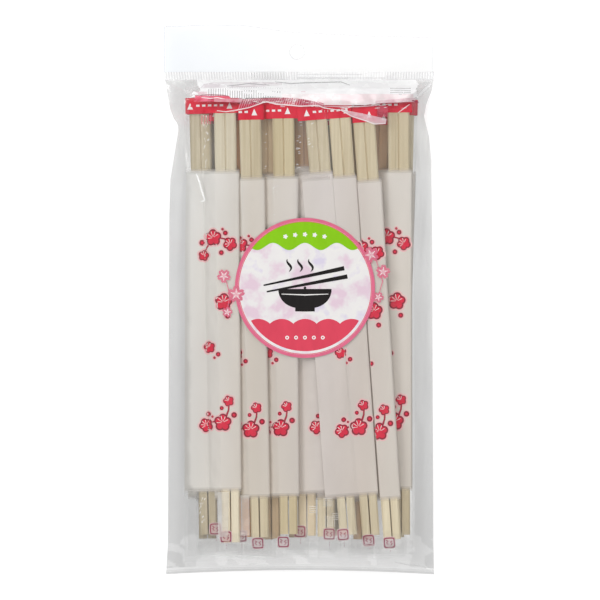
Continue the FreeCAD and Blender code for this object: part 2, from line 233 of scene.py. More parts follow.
@dataclass
class NodeDesk:
    """A new node material with its main shader, and short ways to add nodes."""

    name: str

    def __post_init__(self) -> None:
        """Make the material and clear it down to a shader and an output."""
        self.material = bpy.data.materials.new(self.name)
        self.material.use_nodes = True
        self.tree = self.material.node_tree
        self.tree.nodes.clear()
        self.output = self.tree.nodes.new("ShaderNodeOutputMaterial")
        self.shader = self.tree.nodes.new("ShaderNodeBsdfPrincipled")
        self.link(self.shader, "BSDF", self.output, "Surface")

    def link(self, source: Node, out: str | int, target: Node, into: str | int) -> None:
        """Join a node's output to another node's input."""
        self.tree.links.new(source.outputs[out], target.inputs[into])

    def node(self, kind: str, **values: float | tuple[float, ...]) -> Node:
        """Add a node and set its inputs.

        Args:
            kind: Its type, without the prefix.
            values: Values of its inputs by name, with low lines for spaces.

        Returns:
            The node.
        """
        node = self.tree.nodes.new(f"ShaderNode{kind}")
        for name, value in values.items():
            node.inputs[name.replace("_", " ")].default_value = value
        return node

    def places(self, scale: Triple = (1.0, 1.0, 1.0), turn: float = 0.0) -> Node:
        """Give places on the object, scaled and turned about Z.

        Args:
            scale: Scale along each axis, per metre.
            turn: Turn about Z, in radians.

        Returns:
            The mapping node.
        """
        mapping = self.node("Mapping", Scale=scale, Rotation=(0.0, 0.0, turn))
        self.link(self.node("TexCoord"), "Object", mapping, "Vector")
        return mapping

    def noise(self, places: Node, scale: float, detail: float, seed: float = 0.0) -> Node:
        """Add a noise texture.

        Args:
            places: Node that gives the places.
            scale: Noise scale.
            detail: Octaves.
            seed: Fourth coordinate, which picks another pattern.

        Returns:
            The noise node, whose "Fac" is the value.
        """
        noise = self.node("TexNoise")
        noise.noise_dimensions = "4D"
        for name, value in (("Scale", scale), ("Detail", detail), ("W", seed)):
            noise.inputs[name].default_value = value
        self.link(places, "Vector", noise, "Vector")
        return noise

    def ramp(self, source: Node, out: str, stops: list[tuple[float, Colour]]) -> Node:
        """Turn a value into colours.

        Args:
            source: Node that gives the value.
            out: Its output.
            stops: Places and colours of the ramp.

        Returns:
            The ramp node, whose "Color" is the colour.
        """
        ramp = self.node("ValToRGB")
        elements = ramp.color_ramp.elements
        while len(elements) < len(stops):
            elements.new(0.5)
        for element, (place, colour) in zip(elements, stops):
            element.position = place
            element.color = (*colour, 1.0)
        self.link(source, out, ramp, "Fac")
        return ramp

    def spread(
        self, source: Node, out: str, to: Spot, start: float = 0.3, end: float = 0.7
    ) -> Node:
        """Spread a value between two numbers.

        Args:
            source: Node that gives the value.
            out: Its output.
            to: Numbers for a low and for a high value.
            start: The low value.
            end: The high value.

        Returns:
            The map-range node, whose "Result" is the number.
        """
        spread = self.node("MapRange", From_Min=start, From_Max=end, To_Min=to[0], To_Max=to[1])
        self.link(source, out, spread, "Value")
        return spread

    def slope(self, axis: str, start: float, end: float, to: Spot = (0.0, 1.0)) -> Node:
        """Ease a number from one place of the object to another.

        Args:
            axis: Axis to follow, "X", "Y" or "Z".
            start: Place of the first number, in metres.
            end: Place of the second number, in metres.
            to: The two numbers.

        Returns:
            The map-range node, whose "Result" is the number.
        """
        apart = self.node("SeparateXYZ")
        self.link(self.places(), "Vector", apart, "Vector")
        return self.spread(apart, axis, to, start, end)

    def scaled(self, tone: Node, out: str, share: Node) -> Node:
        """Scale a colour by a number.

        Args:
            tone: Node that gives the colour.
            out: Its output.
            share: Node whose "Result" scales it.

        Returns:
            The scaling node, whose "Vector" is the colour.
        """
        scaled = self.node("VectorMath")
        scaled.operation = "SCALE"
        self.link(tone, out, scaled, "Vector")
        self.link(share, "Result", scaled, "Scale")
        return scaled

    def multiplied(self, tone: Node, out: str, tint: Node) -> Node:
        """Multiply a colour by a ramp's colour.

        Args:
            tone: Node that gives the colour.
            out: Its output.
            tint: Ramp that gives the other colour.

        Returns:
            The multiplying node, whose "Vector" is the colour.
        """
        both = self.node("VectorMath")
        both.operation = "MULTIPLY"
        self.link(tone, out, both, 0)
        self.link(tint, "Color", both, 1)
        return both

    def bump(self, source: Node, depth: float, strength: float) -> None:
        """Bump the surface by a noise node's value.

        Args:
            source: The noise node.
            depth: Height of the bump, in metres.
            strength: Share of the bump.
        """
        bump = self.node("Bump", Distance=depth, Strength=strength)
        self.link(source, "Fac", bump, "Height")
        self.link(bump, "Normal", self.shader, "Normal")

    def finish(
        self, tone: Node, out: str, grain: Node, haze: Spot, **values: float
    ) -> Material:
        """Join a colour and an uneven roughness to the shader.

        Args:
            tone: Node that gives the colour.
            out: Its output.
            grain: Noise node that makes the roughness uneven.
            haze: Lowest and highest roughness.
            values: Other values of the shader by name, with low lines for spaces.

        Returns:
            The material.
        """
        self.link(tone, out, self.shader, "Base Color")
        self.link(self.spread(grain, "Fac", haze), "Result", self.shader, "Roughness")
        for name, value in values.items():
            self.shader.inputs[name.replace("_", " ")].default_value = value
        return self.material


@dataclass(frozen=True)
class FilmFinish:
    """Clear film: nearly see-through, with creases that catch the lights unevenly; the crinkle noise that
    bumps it also lightens and darkens its colour as painted light and shade, and some films darken toward
    the pack's foot and left side as painted shade.
    """

    name: str
    dull: Colour
    bright: Colour
    cover: float
    mirror: float
    roughness: float
    crinkle: float
    crinkle_scale: float
    stretch: float = 0.45
    # Share of the tone left at the pack's foot and at its left side: painted shade
    painted_foot_shade: float = 1.0
    painted_left_shade: float = 1.0

    def make(self) -> Material:
        """Make the material.

        Returns:
            The film's material.
        """
        desk = NodeDesk(self.name)
        crinkles = desk.noise(desk.places((1.0, self.stretch, 1.0)), self.crinkle_scale, 3.0)
        # Painted light and shade: the crinkle noise that bumps the film also lightens and darkens its colour
        tone = desk.ramp(crinkles, "Fac", [(0.36, self.dull), (0.64, self.bright)])
        out = "Color"
        # Painted shade: the colour darkens toward the pack's foot and toward its left side
        if self.painted_foot_shade < 1.0:
            upward = desk.scaled(tone, out, desk.slope("Y", -0.125, 0.085, (self.painted_foot_shade, 1.0)))
            tone = desk.scaled(upward, "Vector", desk.slope("X", -0.05, 0.05, (self.painted_left_shade, 1.0)))
            out = "Vector"
        desk.bump(crinkles, self.crinkle, 1.0)
        haze = (self.roughness * 0.8, self.roughness * 1.3)
        return desk.finish(tone, out, crinkles, haze, Metallic=self.mirror, Alpha=self.cover)


@dataclass(frozen=True)
class InkFinish:
    """Printed ink on film or on a label, slightly uneven in tone."""

    name: str
    colour: Colour
    cover: float = 1.0
    roughness: float = 0.42
    unevenness: float = 0.04
    grain_scale: float = 260.0
    gloss: float = 0.15

    def make(self) -> Material:
        """Make the material.

        Returns:
            The ink's material.
        """
        desk = NodeDesk(self.name)
        grain = desk.noise(desk.places((1.0, 0.3, 1.0)), self.grain_scale, 3.0)
        stops = []
        for place, share in ((0.35, 1.0 - self.unevenness), (0.65, 1.0 + self.unevenness)):
            stops.append((place, tuple(min(channel * share, 1.0) for channel in self.colour)))
        tone = desk.ramp(grain, "Fac", stops)
        haze = (self.roughness * 0.9, self.roughness * 1.15)
        return desk.finish(tone, "Color", grain, haze, Specular_IOR_Level=self.gloss, Alpha=self.cover)


@dataclass(frozen=True)
class WhiteInk:
    """White print that lets a little of the wood's tone through, creamier toward the tips.

    Tones across are given by place in metres, and those along by share from the tips up. Across, some
    wrappers' print is set darker and creamier than others, partly the wood's tone through the print and
    partly painted shade.
    """

    name: str
    cover: float
    side: float = 0.060
    # Painted shade in part: the tones across darken some wrappers' print more than others
    across: tuple[tuple[float, Colour], ...] = (
        (-0.052, (0.86, 0.85, 0.82)), (-0.034, (0.835, 0.797, 0.745)), (-0.022, (0.77, 0.71, 0.635)),
        (-0.008, (0.785, 0.73, 0.67)), (0.012, (0.795, 0.735, 0.70)), (0.030, (0.77, 0.70, 0.645)),
        (0.044, (0.81, 0.76, 0.70)),
    )
    along: tuple[tuple[float, Colour], ...] = (
        (0.0, (0.965, 0.945, 0.92)), (0.30, (0.95, 0.93, 0.915)), (0.72, (0.97, 0.96, 0.945)),
        (1.0, (1.0, 1.0, 1.0)),
    )

    def make(self) -> Material:
        """Make the material.

        Returns:
            The ink's material.
        """
        desk = NodeDesk(self.name)
        stops = [((place + self.side) / (2 * self.side), tone) for place, tone in self.across]
        tone = desk.ramp(desk.slope("X", -self.side, self.side), "Result", stops)
        grain = desk.noise(desk.places((1.0, 0.22, 1.0)), 70.0, 3.0)
        mottled = desk.scaled(tone, "Color", desk.spread(grain, "Fac", (0.965, 1.03)))
        cream = desk.ramp(desk.slope("Y", -0.09, 0.055), "Result", list(self.along))
        both = desk.multiplied(mottled, "Vector", cream)
        return desk.finish(both, "Vector", grain, (0.42, 0.54), Specular_IOR_Level=0.3, Alpha=self.cover)


@dataclass(frozen=True)
class WoodFinish:
    """Plain pale wood with fine lengthwise grain, its own for each pair, darker toward its head, with
    painted shade in the colours of pairs that lie deep.
    """

    name: str
    seed: float
    lean: float
    tone: float
    head_tint: Colour
    pale: Colour
    dark: Colour

    def make(self) -> Material:
        """Make the material.

        Returns:
            The wood's material.
        """
        desk = NodeDesk(self.name)
        fibres = desk.noise(desk.places((900.0, 9.0, 900.0), -self.lean), 1.0, 5.0, self.seed)
        broad = desk.noise(desk.places((90.0, 6.0, 90.0), -self.lean), 1.0, 2.0, self.seed + 7.0)
        blend = desk.node("Mix")
        blend.data_type = "FLOAT"
        blend.inputs["Factor"].default_value = 0.55
        desk.link(fibres, "Fac", blend, "A")
        desk.link(broad, "Fac", blend, "B")
        pale = np.array(self.pale) * self.tone
        dark = np.array(self.dark) * self.tone
        stops = [(0.30, dark * 0.72), (0.40, dark), (0.52, (pale + dark) / 2), (0.62, pale)]
        tone = desk.ramp(blend, "Result", stops)
        # Toward its head the wood takes the head tint: darker by the pair's head share, and browner on pair
        # 11, which is painted shade where its head lies deep
        upward = desk.slope("Y", -0.10, 0.06)
        tint = desk.ramp(upward, "Result", [(0.0, (1.0, 1.0, 1.0)), (1.0, self.head_tint)])
        desk.bump(fibres, 0.00012, 0.6)
        return desk.finish(desk.multiplied(tone, "Color", tint), "Vector", fibres, (0.55, 0.72))


@dataclass(frozen=True)
class StageFinish:
    """Plain white floor, brighter to the eye than the light makes it, with its shadow kept."""

    name: str = "stage_white"
    colour: float = 0.62
    glow: float = 0.56

    def make(self) -> Material:
        """Make the material.

        Returns:
            The floor's material.
        """
        desk = NodeDesk(self.name)
        desk.shader.inputs["Base Color"].default_value = (self.colour, self.colour, self.colour, 1.0)
        desk.shader.inputs["Roughness"].default_value = 0.9
        pick = desk.node("MixShader")
        both = desk.node("AddShader")
        desk.link(desk.node("LightPath"), "Is Camera Ray", pick, "Fac")
        desk.link(desk.node("BsdfTransparent", Color=(0.0, 0.0, 0.0, 1.0)), "BSDF", pick, 1)
        desk.link(desk.node("Emission", Strength=self.glow), "Emission", pick, 2)
        desk.link(desk.shader, "BSDF", both, 0)
        desk.link(pick, "Shader", both, 1)
        desk.link(both, "Shader", desk.output, "Surface")
        return desk.material


# ---- the sticks


@dataclass(frozen=True)
class PairLook:
    """How a pair differs from the plain one: where its print lies, how its film lies and its wood, whose
    colours are partly painted shade for pairs that lie deep.

    Lengths are in mm, and a pair whose end mark is hidden or out of sight has no mark.
    """

    shift: float = 0.0
    offset: float = 0.0
    mark: Spot | None = None
    fan: float = 0.0
    width: float = 26.4
    bulge: float = 1.5
    pale: Colour = (0.84, 0.735, 0.52)
    dark: Colour = (0.66, 0.545, 0.345)
    tone: float = 0.95
    head: float = 0.93
    # Tint of the wood at the head: painted shade where a head lies deep
    head_shade: Colour = (1.0, 1.0, 1.0)


LOOKS = {
    # Pairs 2, 3, 4, 6, 9, 10 and 13 show only deep in the gaps between others; their browner, darker wood is
    # painted shade of those gaps
    2: PairLook(pale=(0.82, 0.46, 0.22), dark=(0.64, 0.34, 0.14)),
    3: PairLook(pale=(0.74, 0.53, 0.30), dark=(0.58, 0.40, 0.21)),
    4: PairLook(pale=(0.72, 0.50, 0.28), dark=(0.56, 0.38, 0.20)),
    6: PairLook(pale=(0.74, 0.47, 0.25), dark=(0.58, 0.36, 0.18)),
    7: PairLook(shift=3.5),
    8: PairLook(shift=2.3, mark=(3.3, 3.7), tone=0.80, head=1.0),
    9: PairLook(shift=2.4, mark=(-0.6, 1.4), pale=(1.0, 0.49, 0.17), dark=(0.82, 0.37, 0.11)),
    10: PairLook(shift=3.2, pale=(0.80, 0.60, 0.36), dark=(0.64, 0.46, 0.26)),
    11: PairLook(
        shift=5.4, mark=(-3.3, 0.0), pale=(0.98, 0.84, 0.59), dark=(0.79, 0.62, 0.39),
        # Pair 11's brown head is painted shade where it lies deep between its neighbours
        head=1.0, head_shade=(0.48, 0.30, 0.15),
    ),
    12: PairLook(shift=-0.4, mark=(1.4, 5.0), tone=1.02, head=0.86),
    13: PairLook(shift=2.0, pale=(0.92, 0.62, 0.34), dark=(0.74, 0.47, 0.23)),
    14: PairLook(shift=3.1, offset=0.5, head=0.96),
    15: PairLook(
        shift=6.0, mark=(-2.4, 0.0), fan=2.2, pale=(0.86, 0.79, 0.62), dark=(0.72, 0.62, 0.44),
        tone=1.12, head=0.80,
    ),
    16: PairLook(shift=0.5, mark=(-1.1, 0.0), tone=0.96, head=0.88),
    17: PairLook(
        shift=-0.4, mark=(-2.7, 0.0), bulge=2.6, pale=(0.84, 0.72, 0.465), dark=(0.66, 0.53, 0.305),
        tone=0.92, head=0.92,
    ),
    18: PairLook(shift=2.4, mark=(-2.5, 1.3), fan=4.0),
    19: PairLook(shift=0.8, offset=1.2, mark=(-2.4, 0.2), fan=-0.7, width=25.5, tone=0.91, head=1.0),
    20: PairLook(shift=0.6, offset=0.5, mark=(-2.0, 1.2), tone=1.02, head=0.90),
}


@dataclass
class PairAxis:
    """Place of one pair: the middle of its tips and of its head, read from its solid."""

    number: int
    end_depth: float = 1.2
    sleeve_drop: float = 2.35

    def __post_init__(self) -> None:
        """Read the two end faces of the pair's solid."""
        self.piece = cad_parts[f"chopstick_pair_{self.number:02d}"]
        mesh = self.piece.data
        places = np.empty(len(mesh.vertices) * 3)
        mesh.vertices.foreach_get("co", places)
        places = places.reshape(-1, 3) / MM
        along = places[:, 1]
        head = places[along > along.max() - self.end_depth]
        tips = places[along < along.min() + self.end_depth]
        self.head = (head.min(0) + head.max(0)) / 2
        self.tips = (tips.min(0) + tips.max(0)) / 2
        self.along = (self.head - self.tips) / np.linalg.norm(self.head - self.tips)
        level = np.array([self.along[1], -self.along[0], 0.0])
        upright = np.array([0.0, 0.0, 1.0])
        roll = math.atan(SHINGLE_SLOPE)
        self.up = upright * math.cos(roll) - level * math.sin(roll)
        self.across = level * math.cos(roll) + upright * math.sin(roll)
        self.floor = self.tips - self.up * self.sleeve_drop
        self.look = LOOKS.get(self.number, PairLook())

    def world(self, u: Array, v: Array, w: Array) -> Array:
        """Turn places across, along and above the wrapper's floor into places of the pack, in mm."""
        u, v, w = (part[..., None] for part in np.broadcast_arrays(u, v, w))
        return self.floor + u * self.across + v * self.along + w * self.up

    def dress(self) -> None:
        """Give the pair's solid its own piece of wood."""
        look = self.look
        tint = tuple(look.head * head_shade for head_shade in look.head_shade)
        lean = math.atan2(self.along[0], self.along[1])
        finish = WoodFinish(
            f"aspen_{self.number:02d}", float(self.number), lean, look.tone, tint, look.pale, look.dark
        )
        self.piece.data.materials.clear()
        self.piece.data.materials.append(finish.make())


# ---- the bag's shape


@dataclass
class BagShape:
    """Outline, thickness and end slopes of the filled bag, by place along it."""

    low: Vector
    high: Vector
    weld: float = 2.0
    tip_slope: float = 3.6
    tip_room: float = 8.5
    seal_rise: float = 5.0
    seal_height: float = 2.8
    head_slope: float = 4.6
    head_room: float = 6.4
    full_height: float = 16.85
    end_height: float = 12.75
    room_above: float = 0.2
    room_below: float = 0.1

    def __post_init__(self) -> None:
        """Work out where the sections of the bag end."""
        self.bottom_y = self.low.y / MM
        self.weld_top = self.bottom_y + self.weld
        self.tip_end = self.weld_top + self.tip_slope
        self.tip_full = self.tip_end + self.tip_room
        self.seal_top = self.high.y / MM
        self.seal_foot = self.seal_top - self.seal_height
        self.head_end = self.seal_foot - self.head_slope
        self.head_full = self.head_end - self.head_room

    def top(self, y: Array) -> Array:
        """Height of the bag's front over the table.

        Args:
            y: Places along the bag, in mm.

        Returns:
            The heights in mm.
        """
        ends = [self.weld_top, self.tip_end, self.tip_full, self.head_full, self.head_end, self.seal_foot]
        rises = [self.seal_rise, self.end_height, self.full_height]
        return np.interp(y, ends, rises + rises[::-1])

    def bottom(self, y: Array) -> Array:
        """Height of the bag's back over the table at places along it."""
        ends = [self.weld_top, self.tip_end, self.head_end, self.seal_foot]
        return np.interp(y, ends, [self.seal_rise, 0.0, 0.0, self.seal_rise])

    def fill(self, y: Array) -> Array:
        """Share of the bag's full thickness over its seal at places along it."""
        return (self.top(y) - self.seal_rise) / (self.full_height - self.seal_rise)

    def squeeze(self, places: Array) -> Array:
        """Press film that lies past the wood into the bag's closing ends.

        Args:
            places: Places in mm.

        Returns:
            The places with their heights pressed.
        """
        top = self.top(places[..., 1]) - self.room_above
        bottom = self.bottom(places[..., 1]) + self.room_below
        share = np.clip((top - bottom) / (self.full_height - self.room_above - self.room_below), 0.02, 1.0)
        pressed = places.copy()
        pressed[..., 2] = np.maximum(bottom + (places[..., 2] - self.room_below) * share, 0.05)
        return pressed


# ---- the print


class Ink(Enum):
    """Inks and films of a wrapper, in the order of its material slots."""

    CLEAR = 0
    WHITE = 1
    FADE_FIRST = 2
    FADE_SECOND = 3
    FADE_THIRD = 4
    BAND = 5
    PETAL = 6
    PETAL_EDGE = 7
    STEM = 8
    LIGHT = 9
    MARK = 10
    HALO = 11
    CRIMP = 12
    MARGIN = 13
    BLUSH = 14
    FAINT = 15


class Lift(float, Enum):
    """Heights of the printed layers over the film, in mm."""

    HALO = 0.03
    STEM = 0.04
    EDGE = 0.05
    BAND = 0.07
    PETAL = 0.075
    HEART = 0.085
    STAMEN = 0.115


@dataclass
class PrintPatch:
    """A flat printed shape: its places across and along by row and column, its ink and its height."""

    places: Array
    ink: Ink
    lift: float


@dataclass(frozen=True)
class Sprig:
    """A sprig of twigs (points, end widths), blossoms (place, radius, turn) and buds (place, radius)."""

    twigs: tuple[tuple[tuple[Spot, ...], Spot], ...]
    blossoms: tuple[tuple[Spot, float, float], ...]
    buds: tuple[tuple[Spot, float], ...]


HIGH_SPRIG = Sprig(
    (
        (((-3.6, 137.6), (-1.2, 137.1), (1.0, 135.8)), (0.7, 0.8)),
        (((-7.8, 135.5), (-9.6, 133.0), (-10.6, 130.6)), (0.8, 0.7)),
    ),
    (((-6.4, 137.7), 3.9, 0.35), ((1.6, 134.6), 3.25, 0.9), ((-11.1, 129.3), 2.55, 0.1)),
    (((-0.6, 139.8), 1.15), ((-1.9, 141.6), 0.6), ((-11.8, 135.4), 1.35), ((-2.6, 130.6), 1.15)),
)
MIDDLE_SPRIG = Sprig(
    (),
    (((-9.0, 86.0), 2.75, 0.5), ((-1.9, 107.3), 4.1, 0.2)),
    (((-4.8, 82.7), 1.1), ((-6.6, 81.1), 0.6), ((-0.1, 100.6), 1.2)),
)
LOW_SPRIG = Sprig(
    (
        (((0.0, 58.8), (-0.3, 56.2), (-1.4, 53.4)), (0.75, 0.95)),
        (((-8.6, 50.7), (-6.0, 51.2)), (0.8, 0.8)),
    ),
    (((-0.2, 60.6), 2.55, 0.6), ((-3.1, 50.5), 4.1, 0.25), ((-11.1, 49.3), 3.3, 0.8)),
    (((-3.5, 57.3), 0.95), ((-9.9, 54.5), 1.15), ((-8.0, 53.3), 0.55), ((2.3, 54.0), 1.35)),
)


@dataclass
class PlumPrint:
    """Sprigs of plum blossom, round buds, the tear band's marks and the end mark, drawn flat."""

    patches: list[PrintPatch] = field(default_factory=list)
    ring_points: int = 50
    petal_off: float = 0.52
    petal_reach: float = 0.48
    large: float = 3.0
    halo: float = 0.75
    bud_halo: float = 0.55
    band_foot: float = 0.27
    band_tip: float = 0.68
    arrows: tuple[float, ...] = (-16.6, 2.1)
    dashes: tuple[float, ...] = (-12.9, -10.1, -7.3, -4.5, -1.7)
    mark_half: float = 2.55

    def shape(self, middle: Spot, reach: Outline, ink: Ink, lift: Lift, rings: int = 4) -> None:
        """Draw a filled shape whose outline is a radius in mm for each angle, in rings of faces."""
        self.patches.append(PrintPatch(filled(middle, reach, 0.02, rings, self.ring_points), ink, lift))

    def disc(self, middle: Spot, radius: float, ink: Ink, lift: Lift) -> None:
        """Draw a round spot with a middle and a radius in mm."""
        self.shape(middle, lambda _: radius, ink, lift, 2)

    def stroke(self, points: tuple[Spot, ...], widths: Spot, ink: Ink, lift: Lift) -> None:
        """Draw a tapering stroke through points.

        Args:
            points: Places across and along, in mm.
            widths: Width at the start and at the end, in mm.
            ink: Its ink.
            lift: Its height over the film.
        """
        line = np.array(points)
        steps = np.linspace(0, len(line) - 1, 3 * (len(line) - 1) + 1)
        path = np.stack([np.interp(steps, range(len(line)), line[:, k]) for k in range(2)], axis=1)
        self.patches.append(PrintPatch(ribbon(path, np.linspace(*widths, len(path))), ink, lift))

    def blossom(self, middle: Spot, radius: float, turn: float) -> None:
        """Draw a five-petalled blossom with a dark edge and pale stamens.

        Args:
            middle: Its middle across and along, in mm.
            radius: Radius of the blossom, in mm.
            turn: Its turn, in radians.
        """

        def petals(angle: Array) -> Array:
            """Give the blossom's radius at an angle, where five round petals meet.

            Args:
                angle: Angles round the blossom's middle, in radians.

            Returns:
                The radii in mm.
            """
            off = petal_angle(angle, turn)
            round_end = np.sqrt(self.petal_reach ** 2 - (self.petal_off * np.sin(off)) ** 2)
            return radius * (self.petal_off * np.cos(off) + round_end) * 1.04

        def outward(share: float, angle: float) -> Spot:
            """Give the place at a share of the radius and an angle."""
            reach = share * radius
            return middle[0] + reach * math.cos(angle), middle[1] + reach * math.sin(angle)

        self.shape(middle, lambda angle: petals(angle) + self.halo, Ink.HALO, Lift.HALO)
        self.shape(middle, petals, Ink.PETAL_EDGE, Lift.EDGE)
        for petal in range(5):
            spot = outward(self.petal_off, turn + petal * 2 * math.pi / 5)
            self.disc(spot, radius * 0.34, Ink.PETAL, Lift.PETAL)
        self.disc(middle, radius * 0.30, Ink.PETAL, Lift.HEART)
        spokes = 5 if radius > self.large else 3
        for spoke in range(spokes):
            off = spoke - (spokes - 1) / 2
            angle = turn + math.pi * 0.5 + off * math.radians(38)
            ends = (outward(0.14, angle), outward(0.80 - 0.06 * abs(off), angle))
            self.stroke(ends, (0.15, 0.28), Ink.LIGHT, Lift.STAMEN)

    def bud(self, middle: Spot, radius: float) -> None:
        """Draw a round bud with a dark edge.

        Args:
            middle: Its middle across and along, in mm.
            radius: Its radius, in mm.
        """
        self.disc(middle, radius + self.bud_halo, Ink.HALO, Lift.HALO)
        self.disc(middle, radius, Ink.PETAL_EDGE, Lift.EDGE)
        self.disc(middle, radius * 0.5, Ink.PETAL, Lift.PETAL)

    def sprig(self, sprig: Sprig) -> None:
        """Draw a sprig.

        Args:
            sprig: Its twigs, blossoms and buds.
        """
        for points, widths in sprig.twigs:
            self.stroke(points, widths, Ink.STEM, Lift.STEM)
        for blossom in sprig.blossoms:
            self.blossom(*blossom)
        for bud in sprig.buds:
            self.bud(*bud)

    def band_marks(self, low: float, high: float) -> None:
        """Draw the arrowheads and dashes on the tear band.

        Args:
            low: Lower edge of the band along the wrapper, in mm.
            high: Upper edge of the band, in mm.
        """
        sides = ((low + (high - low) * self.band_foot, 1.35), (low + (high - low) * self.band_tip, 0.02))
        for middle in self.arrows:
            arrow = [[(middle - half, v), (middle, v), (middle + half, v)] for v, half in sides]
            self.patches.append(PrintPatch(np.array(arrow), Ink.LIGHT, Lift.BAND))
        level = (low + high) / 2
        for middle in self.dashes:
            self.stroke(((middle - 0.8, level), (middle + 0.8, level)), (1.0, 1.0), Ink.LIGHT, Lift.BAND)

    def end_mark(self, middle: Spot) -> None:
        """Draw the plain rounded outline near the lower end, with two strokes in it and two under it.

        Args:
            middle: Its middle across and along the wrapper, in mm.
        """
        half = self.mark_half
        u, v = middle

        def rounded(angle: Array) -> Array:
            """Give the radius of a rounded square at an angle."""
            return half / (np.abs(np.cos(angle)) ** 6 + np.abs(np.sin(angle)) ** 6) ** (1 / 6)

        self.shape(middle, lambda angle: rounded(angle) + 0.5, Ink.BLUSH, Lift.HALO, 3)
        frame_line = filled(middle, rounded, 0.80, 1, self.ring_points)
        self.patches.append(PrintPatch(frame_line, Ink.MARK, Lift.EDGE))
        for side in (-1, 1):
            zigzag = ((0.58, 0.46), (0.16, 0.20), (0.56, -0.06), (0.20, -0.42))
            points = tuple((u + side * half * x, v + half * (y - 0.1 * side)) for x, y in zigzag)
            self.stroke(points, (0.36, 0.36), Ink.MARK, Lift.EDGE)
        for low in (1.1, 2.5):
            top = v - half - low
            self.stroke(((u + 0.2, top), (u + 0.2, top - 0.8)), (0.3, 0.3), Ink.FAINT, Lift.EDGE)


# ---- the wrappers


@dataclass(frozen=True)
class WrapperInks:
    """Finishes that all wrappers share."""

    film: FilmFinish = FilmFinish(
        "wrapper_film", (0.62, 0.61, 0.60), (0.95, 0.95, 0.95), 0.04, 0.15, 0.14, 0.0003, 300.0
    )
    margin: FilmFinish = FilmFinish(
        "wrapper_margin", (0.62, 0.62, 0.61), (0.80, 0.80, 0.79), 0.045, 0.0, 0.3, 0.0002, 120.0
    )
    crimp: FilmFinish = FilmFinish(
        "wrapper_crimp", (0.75, 0.72, 0.73), (1.0, 0.97, 0.97), 0.22, 0.2, 0.2, 0.0003, 420.0
    )

    def make(self) -> list[Material]:
        """Make every material once.

        Returns:
            The materials in the order of Ink.
        """
        finishes = {
            Ink.CLEAR: self.film,
            Ink.WHITE: WhiteInk("wrapper_white", 0.91),
            Ink.FADE_FIRST: WhiteInk("wrapper_fade_1", 0.70),
            Ink.FADE_SECOND: WhiteInk("wrapper_fade_2", 0.44),
            Ink.FADE_THIRD: WhiteInk("wrapper_fade_3", 0.20),
            Ink.BAND: InkFinish("wrapper_band", (0.78, 0.012, 0.045), 0.99, 0.34, 0.05),
            Ink.PETAL: InkFinish("wrapper_petal", (0.76, 0.014, 0.055), unevenness=0.08),
            Ink.PETAL_EDGE: InkFinish("wrapper_petal_edge", (0.27, 0.008, 0.028), unevenness=0.08),
            Ink.STEM: InkFinish("wrapper_stem", (0.40, 0.015, 0.045), unevenness=0.08),
            Ink.LIGHT: InkFinish("wrapper_light", (0.97, 0.93, 0.92), unevenness=0.02),
            Ink.MARK: InkFinish("wrapper_mark", (0.33, 0.015, 0.07), 0.92, unevenness=0.05),
            Ink.HALO: InkFinish("wrapper_halo", (1.0, 0.60, 0.60), 0.85, 0.45, 0.02),
            Ink.CRIMP: self.crimp,
            Ink.MARGIN: self.margin,
            Ink.BLUSH: InkFinish("wrapper_blush", (0.98, 0.70, 0.72), 0.55, 0.45, 0.02),
            Ink.FAINT: InkFinish("wrapper_faint", (0.55, 0.22, 0.30), 0.5, 0.45, 0.02),
        }
        return [finishes[ink].make() for ink in Ink]


